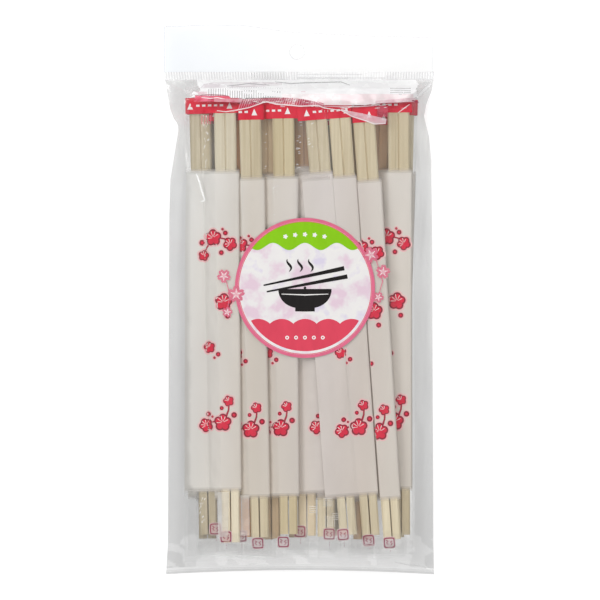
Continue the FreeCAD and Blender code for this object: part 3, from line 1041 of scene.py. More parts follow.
@dataclass
class Wrapper:
    """One film wrapper: a flat tube round its pair, with crimped ends and its print.

    Gaps to the neighbours are given at the tips and at the head.
    """

    axis: PairAxis
    bag: BagShape
    tail: Tail
    gap_left: Spot
    gap_right: Spot
    tip_bulge: float = 1.0
    head_half: float = 5.35
    tip_half: float = 4.25
    sleeve_height: float = 4.55
    closed_height: float = 0.16
    closing: float = 5.5
    tip_margin: float = 9.3
    head_margin: float = 6.4
    head_crimp: float = 4.6
    tip_crimp: float = 2.4
    crimp_pitch: float = 0.96
    crimp_ridge: float = 0.11
    white_field: Spot = (18.7, 168.9)
    fade_step: float = 0.75
    band: Spot = (196.4, 203.9)
    mark_foot: float = -3.4
    fullness: Spot = (0.5, 0.8)
    film_edge: float = 0.12
    sections: int = 92
    tail_points: int = 15
    drop_points: int = 13
    top_points: int = 13
    fold_points: int = 9

    def __post_init__(self) -> None:
        """Set the noise of this wrapper's film and its ends."""
        seed = 1000 + 17 * self.axis.number
        self.waves = Ripple(seed, 9.0, 46.0)
        self.buckles = Ripple(seed + 1, 3.0, 1.9)
        self.folds = Ripple(seed + 2, 5.0, 9.0)
        self.look = self.axis.look
        self.low_end = -self.tip_margin
        self.high_end = STICK_LENGTH + self.head_margin + max(self.look.shift, 0.0)

    def half(self, v: Array) -> Array:
        """Half width of the sleeve at places along it."""
        return lengthwise(v, self.tip_half, self.head_half)

    def height(self, v: Array) -> Array:
        """Height of the sleeve, which closes past both ends of the wood.

        Args:
            v: Places along the wrapper, in mm.

        Returns:
            The heights in mm.
        """
        low = smoothstep(-self.closing, 0.0, v)
        high = 1.0 - smoothstep(STICK_LENGTH, STICK_LENGTH + self.closing, v)
        return self.closed_height + (self.sleeve_height - self.closed_height) * np.minimum(low, high)

    def bulge(self, v: Array) -> Array:
        """Reach of the fold at the sleeve's right side."""
        cap = np.interp(v, [STICK_LENGTH * 0.6, STICK_LENGTH], [self.tip_bulge, self.look.bulge])
        return np.clip(lengthwise(v, *self.gap_right) - 0.25, 0.15, cap)

    def drop(self, v: Array) -> Array:
        """Width over which the upper film falls from the pair to the tail."""
        return np.clip(lengthwise(v, *self.gap_left) - 0.3, 0.35, 25.0)

    def tail_width(self, v: Array) -> Array:
        """Width of the flat film left of the pair.

        Args:
            v: Places along the wrapper, in mm.

        Returns:
            The widths in mm.
        """
        if self.tail is Tail.FOLDED:
            return 1.2 + 0.0 * v
        return self.look.width + self.look.fan * (0.5 - v / STICK_LENGTH) - 2 * self.half(v) - self.bulge(v)

    def section(self, v: float) -> tuple[Array, Array]:
        """Give one closed section of the tube.

        Args:
            v: Place along the wrapper, in mm.

        Returns:
            Places across and heights of the section's points, from the tail's tip over the top.
        """
        half = float(self.half(v))
        height = float(self.height(v))
        bulge = float(self.bulge(v))
        tail = float(self.tail_width(v))
        left = -half - tail
        reach = min(float(self.drop(v)), tail - 0.2)
        u = np.concatenate([
            np.linspace(left, -half - reach, self.tail_points)[:-1],
            -half - reach + reach * np.linspace(0, 1, self.drop_points) ** 0.8,
            np.linspace(-half, half, self.top_points)[1:],
        ])
        if self.tail is Tail.OVER:
            above = self.tail_over(u, v, height)
        else:
            above = self.tail_under(u, v, height, reach)
        above = above + 0.05 * self.waves.at(u * 2, v) * (u > -half) * height / self.sleeve_height
        turn = np.linspace(math.pi / 2, -math.pi / 2, self.fold_points)[1:]
        side_u = half + bulge * np.cos(turn).clip(0.0) ** 0.6
        side_w = height / 2 * (1 + np.sin(turn))
        under_right = np.linspace(half, -half, self.fold_points)[1:]
        under_u = np.concatenate([under_right, np.linspace(-half, left, self.tail_points)[1:]])
        under_w = np.zeros_like(under_u)
        if self.tail is Tail.OVER:
            past = np.clip((-half - under_u) / 0.6, 0.0, 1.0)
            under_w = past * (np.interp(under_u, u, above) - 0.1)
        return np.concatenate([u, side_u, under_u]), np.concatenate([above, side_w, under_w])

    def tail_over(self, u: Array, v: float, height: float) -> Array:
        """Give the heights of upper film whose tail lies over the left neighbour.

        Args:
            u: Places across, in mm.
            v: Place along the wrapper, in mm.
            height: Height of the sleeve there, in mm.

        Returns:
            The heights in mm.
        """
        past = -u - float(self.half(v))
        climb = smoothstep(0.0, 2.0, past)
        return height + climb * (0.35 + SHINGLE_SLOPE * past) + climb * 0.12 * self.buckles.at(u, v)

    def tail_under(self, u: Array, v: float, height: float, reach: float) -> Array:
        """Give the heights of upper film that falls to a tail under the left neighbour.

        Args:
            u: Places across, in mm.
            v: Place along the wrapper, in mm.
            height: Height of the sleeve there, in mm.
            reach: Width of the fall, in mm.

        Returns:
            The heights in mm.
        """
        half = float(self.half(v))
        fall = np.clip((-half - u) / reach, 0.0, 1.0)
        above = self.film_edge + (height - self.film_edge) * (1.0 - fall) ** lengthwise(v, *self.fullness)
        above = above + 0.45 * self.buckles.at(u, v) * np.sin(np.pi * fall) * min(reach / 2.0, 1.0)
        loose = np.where(u < -half - reach, 1.0, 0.0) * smoothstep(0.0, 3.0, u - u[0])
        return above + 0.16 * (1 + self.waves.at(u, v)) * loose

    def stations(self) -> Array:
        """List the places of the tube's sections, with the print's edges among them.

        Returns:
            The places along the wrapper, in mm.
        """
        low = self.low_end + self.tip_crimp
        high = self.high_end - self.head_crimp
        edges = list(self.band)
        for edge, way in zip(self.white_field, (1, -1)):
            edges += [edge + way * (1.5 - step) * self.fade_step for step in range(4)]
        edges = np.sort(np.array(edges) + self.look.shift)
        edges = edges[(edges > low) & (edges < high)]
        plain = np.linspace(low, high, self.sections)
        keep = [place for place in plain if np.min(np.abs(edges - place)) > 0.6]
        return np.sort(np.concatenate([keep, edges]))

    def ink_at(self, v: float) -> Ink:
        """Name the ink between two sections.

        Args:
            v: Place along the wrapper, in mm.

        Returns:
            The ink of the faces there.
        """
        place = v - self.look.shift
        if v < 0.0:
            return Ink.MARGIN
        if self.band[0] < place < self.band[1]:
            return Ink.BAND
        outside = max(self.white_field[0] - place, place - self.white_field[1]) + 1.5 * self.fade_step
        if outside <= 0:
            return Ink.WHITE
        step = int(outside // self.fade_step)
        return (Ink.FADE_FIRST, Ink.FADE_SECOND, Ink.FADE_THIRD)[step] if step < 3 else Ink.CLEAR

    def bend(self, u: Array, v: Array, w: Array) -> Array:
        """Place film points across, along and above in the pack, with its ends pressed into the bag."""
        past = smoothstep(STICK_LENGTH - 1.0, STICK_LENGTH + 4.0, v) + smoothstep(1.0, -4.0, v)
        return self.bag.squeeze(self.axis.world(u, v, w + past * 0.5 * self.folds.at(u, v)))

    def crimp(self, draft: MeshDraft, low: float, high: float, ink: Ink) -> None:
        """Add a crimped end: both films welded flat in fine ridges.

        Args:
            draft: Mesh to add to.
            low: Lower end of the crimp, in mm.
            high: Upper end of the crimp, in mm.
            ink: Its finish, which is the margin's at the tips.
        """
        tube = high if ink is Ink.MARGIN else low
        left = float(-self.half(tube) - self.tail_width(tube))
        right = float(self.half(tube) + self.bulge(tube))
        u = np.arange(left, right + 0.001, self.crimp_pitch / 4)
        v = np.linspace(low, high, 6)[:, None]
        fade = smoothstep(low, low + 0.8, v) * (1 - smoothstep(high - 0.8, high, v))
        ridge = self.crimp_ridge * np.sin(u * 2 * math.pi / self.crimp_pitch) * fade
        draft.add(self.bend(u, v, 0.08 + ridge), ink.value)

    def print_on(self, draft: MeshDraft, grid: Array, across: Array, v: Array) -> None:
        """Lay the printed shapes on the upper film.

        Args:
            draft: Mesh to add to.
            grid: Places of the upper film by section and point.
            across: Places across of the same points.
            v: Places along of the sections.
        """
        plum = PlumPrint()
        for sprig in (HIGH_SPRIG, MIDDLE_SPRIG, LOW_SPRIG):
            plum.sprig(sprig)
        plum.band_marks(*self.band)
        if self.look.mark is not None:
            plum.end_mark((self.look.mark[0], self.mark_foot + self.look.mark[1]))
        low = float(across.min()) + 0.1
        for patch in plum.patches:
            spots = patch.places + [self.look.offset, self.look.shift]
            u, along = spots[..., 0], spots[..., 1]
            if along.min() < v[0] or along.max() > v[-1] or u.max() <= low + 0.5:
                continue
            places = self.on_film(grid, across, v, np.maximum(u, low).ravel(), along.ravel())
            places = places.reshape(*u.shape, 3) + [0.0, 0.0, patch.lift]
            draft.add(places, patch.ink.value)

    @staticmethod
    def on_film(
        grid: Array, across: Array, stations: Array, u: Array, v: Array
    ) -> Array:
        """Find points of the upper film.

        Args:
            grid: Places of the upper film by section and point.
            across: Places across of the same points.
            stations: Places along of the sections.
            u: Places across of the wanted points.
            v: Places along of the wanted points.

        Returns:
            The points on the film.
        """
        span = np.clip(np.searchsorted(stations, v) - 1, 0, len(stations) - 2)
        share = np.clip((v - stations[span]) / (stations[span + 1] - stations[span]), 0.0, 1.0)[:, None]
        places = np.empty((len(u), 3))
        for row in np.unique(span):
            chosen = span == row
            near, far = (
                np.stack([np.interp(u[chosen], across[k], grid[k, :, axis]) for axis in range(3)], axis=1)
                for k in (row, row + 1)
            )
            places[chosen] = near * (1 - share[chosen]) + far * share[chosen]
            places[chosen, 0] += np.maximum(u[chosen] - across[row, -1], 0.0)
        return places

    def build(self, inks: list[Material]) -> Piece:
        """Make the wrapper's piece.

        Args:
            inks: Materials in the order of Ink.

        Returns:
            The wrapper.
        """
        draft = MeshDraft()
        v = self.stations()
        across, heights = np.stack([self.section(float(place)) for place in v], axis=1)
        grid = self.bend(across, v[:, None], heights)
        slots = [self.ink_at(float(place)).value for place in (v[1:] + v[:-1]) / 2]
        draft.add(grid, np.repeat(slots, across.shape[1] - 1))
        upper = self.tail_points + self.drop_points + self.top_points - 2
        self.print_on(draft, grid[:, :upper], across[:, :upper], v)
        self.crimp(draft, self.low_end, float(v[0]), Ink.MARGIN)
        self.crimp(draft, float(v[-1]), self.high_end, Ink.CRIMP)
        piece = draft.build(f"film_wrapper_{self.axis.number:02d}", inks)
        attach(piece, "root")
        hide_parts(f"wrapper_{self.axis.number:02d}")
        return piece


@dataclass
class Contents:
    """All pairs and wrappers, row by row, with one tight gap and one tail over its neighbour."""

    bag: BagShape
    head_width: float = 10.4
    tip_width: float = 8.2
    least_gap: float = 0.3
    end_gap: float = 6.0
    tight: tuple[int, int] = (19, 20)
    tight_gap: float = 0.95
    tail_over: int = 19

    def build(self) -> list[PairAxis]:
        """Dress the wood and make the wrappers.

        Returns:
            The places of the pairs.
        """
        axes = [PairAxis(number) for number in range(1, PAIR_COUNT + 1)]
        inks = WrapperInks().make()
        for row in Row:
            first, last = row.value
            members = [None, *axes[first - 1:last], None]
            for before, axis, after in zip(members, members[1:], members[2:]):
                axis.dress()
                tail = Tail.FOLDED if before is None and row is not Row.FRONT else Tail.UNDER
                if axis.number == self.tail_over:
                    tail = Tail.OVER
                wrapper = Wrapper(axis, self.bag, tail, self.gap(before, axis), self.gap(axis, after))
                piece = wrapper.build(inks)
                LOG.info("%s: %d faces, %s", piece.name, len(piece.data.polygons), tail.value)
        return axes

    def gap(self, left: PairAxis | None, right: PairAxis | None) -> Spot:
        """Measure the space between two neighbours' wood.

        Args:
            left: Left pair, or none at the row's end.
            right: Right pair, or none at the row's end.

        Returns:
            The space at the tips and at the head, in mm.
        """
        if left is None or right is None:
            return self.end_gap, self.end_gap
        if (left.number, right.number) == self.tight:
            return self.tight_gap, self.tight_gap
        tips = right.tips[0] - left.tips[0] - self.tip_width
        head = right.head[0] - left.head[0] - self.head_width
        return max(tips, self.least_gap), max(head, self.least_gap)


# ---- the bag


@dataclass(frozen=True)
class CreaseLine:
    """A folded ridge of film between two places, in mm."""

    start: Spot
    end: Spot
    height: float
    width: float

    def rise(self, x: Array, y: Array) -> Array:
        """Height that the ridge adds at places.

        Args:
            x: Places across, in mm.
            y: Places along, in mm.

        Returns:
            The added height.
        """
        dx = self.end[0] - self.start[0]
        dy = self.end[1] - self.start[1]
        length = math.hypot(dx, dy)
        along = ((x - self.start[0]) * dx + (y - self.start[1]) * dy) / length
        off = np.abs((x - self.start[0]) * dy - (y - self.start[1]) * dx) / length
        ends = smoothstep(0.0, length * 0.2, along) * (1 - smoothstep(length * 0.7, length, along))
        return self.height * np.clip(1 - off / self.width, 0.0, 1.0) * ends


class BagSlot(Enum):
    """Finishes of the bag, in the order of its material slots."""

    FILM = 0
    FILM_SECOND = 1
    FILM_THIRD = 2
    FILM_FOURTH = 3
    CLEAR = 4
    CRIMP = 5
    GATHERED = 6
    BLUSH = 7
    EDGE = 8
    VEIL = 9
    RIB = 10
    GREY = 11
    MAUVE = 12
    WINE = 13
    RED = 14
    HAZE = 15
    PLEAT = 16
    CREAM = 17


# Colours of the fold finishes. The near-white and pink ones of the gathered film, the blush, the edges and
# the glints are painted highlights and sheen; the greys of the ribs and the dark wine red are painted shade
# in ridges, creases and folds; the veil is red print under the film with painted pink sheen.
FOLD_TONES = {
    BagSlot.CRIMP: ((0.90, 0.91, 0.92), (1.0, 1.0, 1.0), 0.42),
    BagSlot.GATHERED: ((0.96, 0.95, 0.96), (1.0, 1.0, 1.0), 0.80),
    BagSlot.BLUSH: ((0.90, 0.58, 0.66), (1.0, 0.84, 0.87), 0.62),
    BagSlot.EDGE: ((0.95, 0.80, 0.82), (1.0, 0.96, 0.96), 0.85),
    BagSlot.VEIL: ((0.76, 0.20, 0.30), (1.0, 0.74, 0.78), 0.60),
    BagSlot.RIB: ((0.58, 0.58, 0.59), (0.72, 0.72, 0.73), 0.46),
    BagSlot.GREY: ((0.26, 0.26, 0.27), (0.42, 0.42, 0.43), 0.44),
    BagSlot.MAUVE: ((0.80, 0.69, 0.74), (1.0, 0.97, 0.98), 0.66),
    BagSlot.WINE: ((0.22, 0.02, 0.06), (0.42, 0.06, 0.12), 0.62),
    BagSlot.RED: ((0.60, 0.012, 0.05), (0.90, 0.20, 0.30), 0.90),
    BagSlot.HAZE: ((0.50, 0.02, 0.06), (0.86, 0.16, 0.24), 0.45),
    BagSlot.PLEAT: ((0.97, 0.97, 0.95), (1.0, 1.0, 1.0), 0.80),
    BagSlot.CREAM: ((0.84, 0.80, 0.74), (0.97, 0.94, 0.89), 0.36),
}
MATT_FOLDS = (BagSlot.GATHERED, BagSlot.VEIL)


@dataclass(frozen=True)
class FilmFold:
    """A strip of film that lies on the front, between a lower and an upper line of places in mm; many carry
    painted highlights, sheen or shade of folds and creases, others the tint of print under the film.

    A ribbed fold has two finishes by turns, and the pitch is the width of one pair of ribs.
    """

    lower: Line | Array
    upper: Line | Array
    slot: BagSlot
    pitch: float = 0.0
    second: BagSlot = BagSlot.RIB
    rows: int = 4

    @classmethod
    def line(cls, points: Line, width: float, slot: BagSlot) -> "FilmFold":
        """Make a narrow fold along a line.

        Args:
            points: Places of the line, in mm.
            width: Width of the fold, in mm.
            slot: Its finish.

        Returns:
            The fold.
        """
        taper = np.sin(np.pi * np.linspace(0.12, 0.88, len(points))) ** 0.5
        strip = ribbon(np.array(points), taper * width)
        return cls(strip[:, 2], strip[:, 0], slot)

    def grid(self) -> Array:
        """Spread places over the fold.

        Returns:
            Places across and along the bag by row and column, in mm.
        """
        lines = [np.array(line) for line in (self.lower, self.upper)]
        lengths = [np.append(0.0, np.cumsum(np.hypot(*np.diff(line, axis=0).T))) for line in lines]
        faces = max(int(lengths[0][-1] * 1.4), 8)
        if self.pitch:
            faces = 2 * max(round(lengths[0][-1] / self.pitch), 1)
        share = np.linspace(0, 1, faces + 1)
        lower, upper = (
            np.stack([np.interp(share, length / length[-1], line[:, k]) for k in range(2)], axis=-1)
            for line, length in zip(lines, lengths)
        )
        across = np.linspace(0, 1, self.rows)[:, None, None]
        return lower * (1 - across) + upper * across

    def face_slots(self, columns: int) -> Array:
        """Pick the finish of each face between columns of vertices, by turns where there are ribs."""
        turns = np.array([self.slot.value, self.second.value if self.pitch else self.slot.value])
        return np.tile(turns[np.arange(columns - 1) % 2], self.rows - 1)


@dataclass(frozen=True)
class GlintRow:
    """A patch of painted glints: fine white strips where creases would catch the light."""

    across: Spot
    along: Spot
    count: int
    length: float
    turn: float

    def folds(self, seed: int) -> list[FilmFold]:
        """Scatter the painted glints over the patch.

        Args:
            seed: Seed of their places.

        Returns:
            One strip for each glint.
        """
        rng = np.random.default_rng(seed)
        folds = []
        for _ in range(self.count):
            x = rng.uniform(*self.across)
            y = rng.uniform(*self.along)
            half = self.length * rng.uniform(0.25, 0.6)
            turn = math.radians(self.turn + rng.normal(0.0, 9.0))
            step = (half * math.cos(turn), half * math.sin(turn))
            line = ((x - step[0], y - step[1]), (x, y + rng.normal(0.0, 0.06)), (x + step[0], y + step[1]))
            folds.append(FilmFold.line(line, rng.uniform(0.16, 0.34), BagSlot.PLEAT))
        return folds


PLEAT_LINE = (
    (-38.7, 89.2), (-34.5, 88.7), (-29.7, 89.4), (-23.6, 90.6), (-17.1, 93.0), (-15.1, 93.4),
    (-10.9, 92.3), (-3.3, 91.7), (0.5, 91.3), (5.2, 91.5), (9.0, 91.6), (11.8, 90.5), (15.6, 89.9),
    (19.4, 89.4), (22.7, 89.2),
)
CURL_LINE = ((19.7, 89.4), (25.0, 86.5), (31.9, 84.3), (35.4, 82.9), (40.9, 83.2))
CREASES = (
    CreaseLine((63.5, 104.0), (46.0, 92.5), 2.2, 3.4),
    CreaseLine((-63.5, 104.0), (-47.0, 93.0), 1.2, 3.0),
    CreaseLine((-60.0, 90.0), (-54.5, 30.0), 0.7, 2.0),
    CreaseLine((-58.5, 60.0), (-60.0, -20.0), 0.5, 1.6),
    CreaseLine((61.0, 88.0), (57.0, 20.0), 0.8, 2.0),
    CreaseLine((60.5, 40.0), (58.5, -60.0), 0.5, 1.6),
    CreaseLine((62.5, -128.0), (44.0, -114.0), 0.5, 2.6),
    CreaseLine((-61.5, -128.0), (-46.0, -112.0), 0.45, 2.6),
    CreaseLine((-30.0, -126.0), (-6.0, -118.0), 0.4, 2.0),
    CreaseLine((10.0, -119.0), (34.0, -125.0), 0.4, 2.0),
    CreaseLine((-40.0, 103.0), (-18.0, 96.0), 0.7, 2.2),
    CreaseLine((-10.0, 96.0), (30.0, 102.5), 0.8, 2.4),
    CreaseLine((36.0, 95.0), (20.0, 103.5), 0.6, 1.8),
)
# Strips laid on the front film. The white, pink and near-white ones are painted highlights and sheen on
# folds and creases, and the grey and wine-red lines are painted shade in creases; the red and veil strips
# show print under the film, the veil with painted pink sheen.
FOLDS_AND_PAINTED_LIGHT = (
    FilmFold(
        ((-46.5, 100.4), (-38.7, 100.2), (-20.0, 100.6), (-8.0, 101.2)),
        ((-45.0, 102.2), (-38.7, 103.2), (-20.0, 103.2), (-8.0, 102.8)), BagSlot.MAUVE,
    ),
    FilmFold(
        ((-7.0, 95.0), (10.0, 95.2), (30.0, 96.6), (53.0, 97.0)),
        ((-7.0, 103.2), (10.0, 103.4), (30.0, 103.4), (52.0, 103.0)), BagSlot.GATHERED,
    ),
    FilmFold(
        ((-43.4, 95.6), (-30.0, 95.2), (-18.0, 95.3), (-7.6, 95.9)),
        ((-43.4, 99.6), (-30.0, 100.2), (-18.0, 100.4), (-7.6, 99.8)), BagSlot.GATHERED, 1.13,
    ),
    FilmFold(((-20.0, 96.6), (-7.0, 95.6)), ((-20.0, 100.6), (-7.0, 101.6)), BagSlot.GATHERED),
    FilmFold(((43.0, 96.4), (43.0, 100.2)), ((52.8, 96.6), (52.8, 100.2)), BagSlot.GATHERED, 0.95),
    FilmFold(((-49.4, 93.6), (-31.0, 93.4)), ((-49.0, 96.4), (-33.0, 96.2)), BagSlot.RED),
    FilmFold.line(((-46.0, 95.6), (-42.0, 95.0), (-38.6, 95.4), (-34.4, 94.6)), 0.5, BagSlot.EDGE),
    FilmFold.line(((-43.0, 94.4), (-38.0, 94.6), (-33.0, 93.8)), 0.4, BagSlot.WINE),
    FilmFold(
        ((-46.0, 82.8), (-40.8, 82.8)), ((-46.2, 87.0), (-40.6, 87.0)), BagSlot.HAZE, 1.3, BagSlot.CLEAR
    ),
    FilmFold.line(((-49.2, 96.6), (-42.0, 96.8), (-36.0, 96.6), (-33.0, 96.1)), 0.5, BagSlot.WINE),
    FilmFold(((-50.6, 97.0), (-47.6, 97.2)), ((-49.8, 98.6), (-47.8, 97.8)), BagSlot.GATHERED),
    FilmFold(
        (
            (-28.8, 89.8), (-23.6, 90.7), (-17.1, 93.1), (-15.1, 93.5), (-10.9, 92.4), (-3.3, 91.8),
            (5.2, 91.6), (11.8, 90.7),
        ),
        ((-27.0, 94.6), (-20.0, 95.0), (-15.0, 95.0), (-10.0, 95.4), (0.0, 95.4), (5.0, 94.8), (11.8, 92.6)),
        BagSlot.VEIL, 1.13, BagSlot.HAZE,
    ),
    FilmFold(((-40.0, 93.4), (-27.6, 93.0)), ((-40.0, 94.8), (-26.6, 95.0)), BagSlot.VEIL),
    FilmFold(
        (
            (-8.0, 95.6), (2.0, 94.6), (8.0, 93.4), (11.3, 91.9), (21.7, 91.7), (31.2, 91.9), (38.0, 92.7),
            (54.0, 94.0),
        ),
        (
            (-8.0, 97.2), (2.0, 97.2), (8.0, 97.2), (14.0, 97.2), (22.0, 97.2), (31.2, 97.2), (40.6, 97.2),
            (54.0, 97.2),
        ),
        BagSlot.EDGE,
    ),
    FilmFold(((36.0, 92.6), (55.0, 93.6)), ((36.0, 93.9), (55.0, 95.6)), BagSlot.BLUSH),
    FilmFold.line(((12.0, 91.3), (20.0, 91.0), (28.0, 91.1), (37.0, 91.7)), 0.6, BagSlot.BLUSH),
    FilmFold(((36.9, 85.9), (41.9, 86.6)), ((36.9, 91.6), (41.9, 91.6)), BagSlot.HAZE),
    FilmFold(
        CURL_LINE, ((19.7, 90.3), (22.8, 89.2), (29.6, 87.9), (36.3, 86.5), (41.3, 85.4)), BagSlot.BLUSH
    ),
    FilmFold.line(CURL_LINE, 0.55, BagSlot.EDGE),
    FilmFold.line(PLEAT_LINE, 0.6, BagSlot.EDGE),
    # Grey lines: painted shade of creases under the seal
    FilmFold.line(
        ((-11.3, 103.3), (-4.0, 102.4), (1.4, 102.7), (10.0, 103.0), (20.0, 103.2), (24.0, 101.5)),
        0.55, BagSlot.GREY,
    ),
    FilmFold.line(((-34.0, 101.0), (-24.0, 102.4), (-14.0, 101.6)), 0.5, BagSlot.GREY),
    FilmFold.line(((62.6, 102.4), (59.4, 99.6), (55.7, 95.6)), 1.1, BagSlot.GATHERED),
    FilmFold.line(((53.4, 94.3), (55.0, 93.9), (56.6, 93.3)), 0.8, BagSlot.WINE),
    FilmFold.line(((46.7, 88.3), (49.3, 90.3), (52.2, 92.4)), 0.45, BagSlot.EDGE),
    FilmFold.line(((-48.4, 59.6), (-46.9, 55.4), (-45.8, 51.2), (-44.5, 47.3)), 0.8, BagSlot.PLEAT),
    FilmFold.line(((-44.2, 47.2), (-45.2, 46.6), (-46.3, 46.6)), 0.6, BagSlot.PLEAT),
    # Ribbed cream strips near the tips: painted glints of fine ripples
    *(
        FilmFold(lower, upper, BagSlot.CREAM, 0.94, BagSlot.CLEAR)
        for lower, upper in (
            (((11.4, -97.2), (11.4, -92.8)), ((15.8, -97.2), (15.8, -92.8))),
            (((4.7, -100.4), (4.7, -96.6)), ((8.2, -100.4), (8.2, -96.6))),
            (((15.4, -103.6), (15.4, -100.0)), ((18.6, -103.6), (18.6, -100.0))),
            (((12.2, -107.0), (17.4, -107.0)), ((12.2, -101.8), (17.4, -101.8))),
        )
    ),
    FilmFold(((-27.6, -111.0), (-27.6, -92.0)), ((-23.2, -111.0), (-23.4, -92.0)), BagSlot.CREAM),
    FilmFold(((-38.0, -111.6), (-38.4, -90.5)), ((-33.4, -111.6), (-33.0, -90.5)), BagSlot.CREAM),
    FilmFold.line(((-50.0, -121.0), (-30.0, -120.4), (-12.0, -121.6)), 0.5, BagSlot.PLEAT),
    FilmFold.line(((45.0, -123.6), (52.0, -125.4), (57.0, -125.6), (63.0, -128.0)), 0.55, BagSlot.PLEAT),
)
GLINTS = (
    GlintRow((-0.8, 1.2), (62.0, 84.0), 16, 1.3, 0.0),
    GlintRow((-27.0, 11.0), (92.6, 95.4), 24, 1.9, 16.0),
    GlintRow((14.0, 44.0), (90.2, 93.0), 12, 2.2, 5.0),
    GlintRow((-45.4, -42.4), (60.0, 88.0), 26, 0.9, 78.0),
    GlintRow((-16.2, -14.8), (62.0, 80.0), 5, 1.0, 20.0),
    GlintRow((-12.4, -9.6), (40.0, 56.0), 7, 1.0, 60.0),
    GlintRow((4.4, 6.4), (72.0, 85.0), 6, 1.3, 35.0),
    GlintRow((-47.0, -44.4), (-106.0, -91.0), 16, 1.1, 70.0),
)


@dataclass
class BagFilm:
    """The clear bag: front film drawn over the contents, back film, welded bottom and crimped seal."""

    bag: BagShape
    axes: list[PairAxis]
    front_y: Array = field(init=False)
    front_z: Array = field(init=False)
    front_columns: int = 230
    back_columns: int = 90
    weld_columns: int = 120
    foot_part: tuple[float, int] = (-110.0, 24)
    middle_part: tuple[float, int] = (84.0, 130)
    head_rows: int = 42
    taut_from: float = -112.0
    taut_to: float = 90.0
    sleeve_top: float = 4.82
    tail_reach: float = 25.0
    tail_top: float = 0.75
    fold_height: float = 7.0
    side_round: float = 7.5
    bottom_bow: float = 1.9
    bottom_over: float = 0.9
    seal_over: float = 1.2
    film_gap: float = 0.12
    ridge_step: float = 1.27
    ridge_points: int = 6
    ridge_height: float = 0.14
    seal_width: float = 127.8
    # Stretches of the seal across, in mm, where its painted shade changes: ridges painted plain white,
    # darker grey valleys, and where its grey rows switch
    pressed: Spot = (-0.5, 41.0)
    grey_ridges: Spot = (-23.0, -6.6)
    grey_press: float = 24.0
    rib_press: float = 30.0
    fold_lift: float = 0.08
    fold_step: float = 0.012
    lifted_folds: int = 24
    glint_seed: int = 300
    left_edge: tuple[tuple[float, ...], tuple[float, ...]] = (
        (-129.0, -115.0, 40.0, 57.0, 70.0, 80.0, 83.0, 86.0, 90.0, 96.0, 104.3, 108.0),
        (-62.9, -62.0, -61.4, -60.9, -58.8, -57.1, -57.3, -59.3, -60.9, -62.0, -63.4, -64.0),
    )
    right_edge: tuple[tuple[float, ...], tuple[float, ...]] = (
        (-129.0, -115.0, 40.0, 66.0, 77.0, 87.0, 93.0, 99.0, 104.3, 108.0),
        (64.0, 63.6, 62.9, 62.6, 61.6, 59.2, 60.4, 62.8, 63.8, 64.0),
    )

    def __post_init__(self) -> None:
        """Set the noise of the film."""
        self.warp = Ripple(71, 17.0, 17.0)
        self.crumple = Ripple(72, 10.0, 5.5, True)
        self.small_crumple = Ripple(73, 3.6, 2.4, True)
        self.side_crumple = Ripple(74, 4.5, 15.0, True)
        self.drawn = Ripple(75, 7.0, 40.0)
        self.low_crumple = Ripple(76, 15.0, 5.5)
        self.patches = Ripple(81, 5.0, 3.2, True)

    def sides(self, y: Array) -> tuple[Array, Array]:
        """Places across of the left and right folds, at places along the bag."""
        return np.interp(y, *self.left_edge), np.interp(y, *self.right_edge)

    def contents_outline(self, y: float) -> Array:
        """Draw the taut line of film over the pairs in one section.

        Args:
            y: Place along the bag, in mm.

        Returns:
            Places across and heights of the corners that the film rests on, one row each.
        """
        corners = [(float(side), self.fold_height) for side in self.sides(y)]
        for axis in self.axes:
            place = float(np.clip(y, axis.tips[1] + 3, axis.head[1] - 3))
            v = (place - axis.tips[1]) / axis.along[1]
            half = float(lengthwise(v, 4.3, 5.4))
            rests = [(-half, self.sleeve_top), (half, self.sleeve_top)]
            if axis.number == Row.FRONT.value[0]:
                rests.append((half - self.tail_reach, self.tail_top))
            for u, w in rests:
                corner = axis.world(u, v, w)
                corners.append((float(corner[0]), float(corner[2])))
        hull: list[Spot] = []
        for corner in sorted(corners):
            while len(hull) > 1:
                (ax, az), (bx, bz) = hull[-2], hull[-1]
                if (bx - ax) * (corner[1] - az) - (bz - az) * (corner[0] - ax) < 0:
                    break
                hull.pop()
            hull.append(corner)
        return np.array(hull).T

    def front(self, x: Array, y: Array) -> Array:
        """Height of the front film.

        Args:
            x: Places across by section, in mm.
            y: Place along of each section, in mm.

        Returns:
            The heights in mm.
        """
        taut = np.empty_like(x)
        for index, place in enumerate(np.clip(y[:, 0], self.taut_from, self.taut_to)):
            taut[index] = np.interp(x[index], *self.contents_outline(float(place)))
        share = self.bag.fill(y)
        height = self.bag.seal_rise + (taut - self.bag.seal_rise) * share
        return height + self.crinkles(x, y) * np.clip(share * 2.2, 0.05, 1.0)

    def crinkles(self, x: Array, y: Array) -> Array:
        """Height that creases add to the front film.

        Args:
            x: Places across, in mm.
            y: Places along, in mm.

        Returns:
            The added heights, never under the taut film by much.
        """
        wx = x + 4.0 * self.warp.at(x, y)
        wy = y + 3.0 * self.warp.at(y + 40, x)
        head = smoothstep(86.0, 94.0, y)
        foot = 1 - smoothstep(-118.0, -110.0, y)
        side = smoothstep(43.0, 50.0, np.abs(x + 1.0)) * (1 - head)
        rise = head * (0.75 * self.crumple.at(wx, wy) + 0.14 * self.small_crumple.at(wx, wy) + 0.35)
        rise = rise + side * (0.45 * self.side_crumple.at(wx, wy) + 0.1)
        rise = rise + foot * (0.30 * self.low_crumple.at(wx, wy) + 0.1)
        rise = rise + (1 - head) * (1 - foot) * (1 - side) * 0.07 * (1 + self.drawn.at(x, y))
        return rise + sum(crease.rise(x, y) for crease in CREASES)

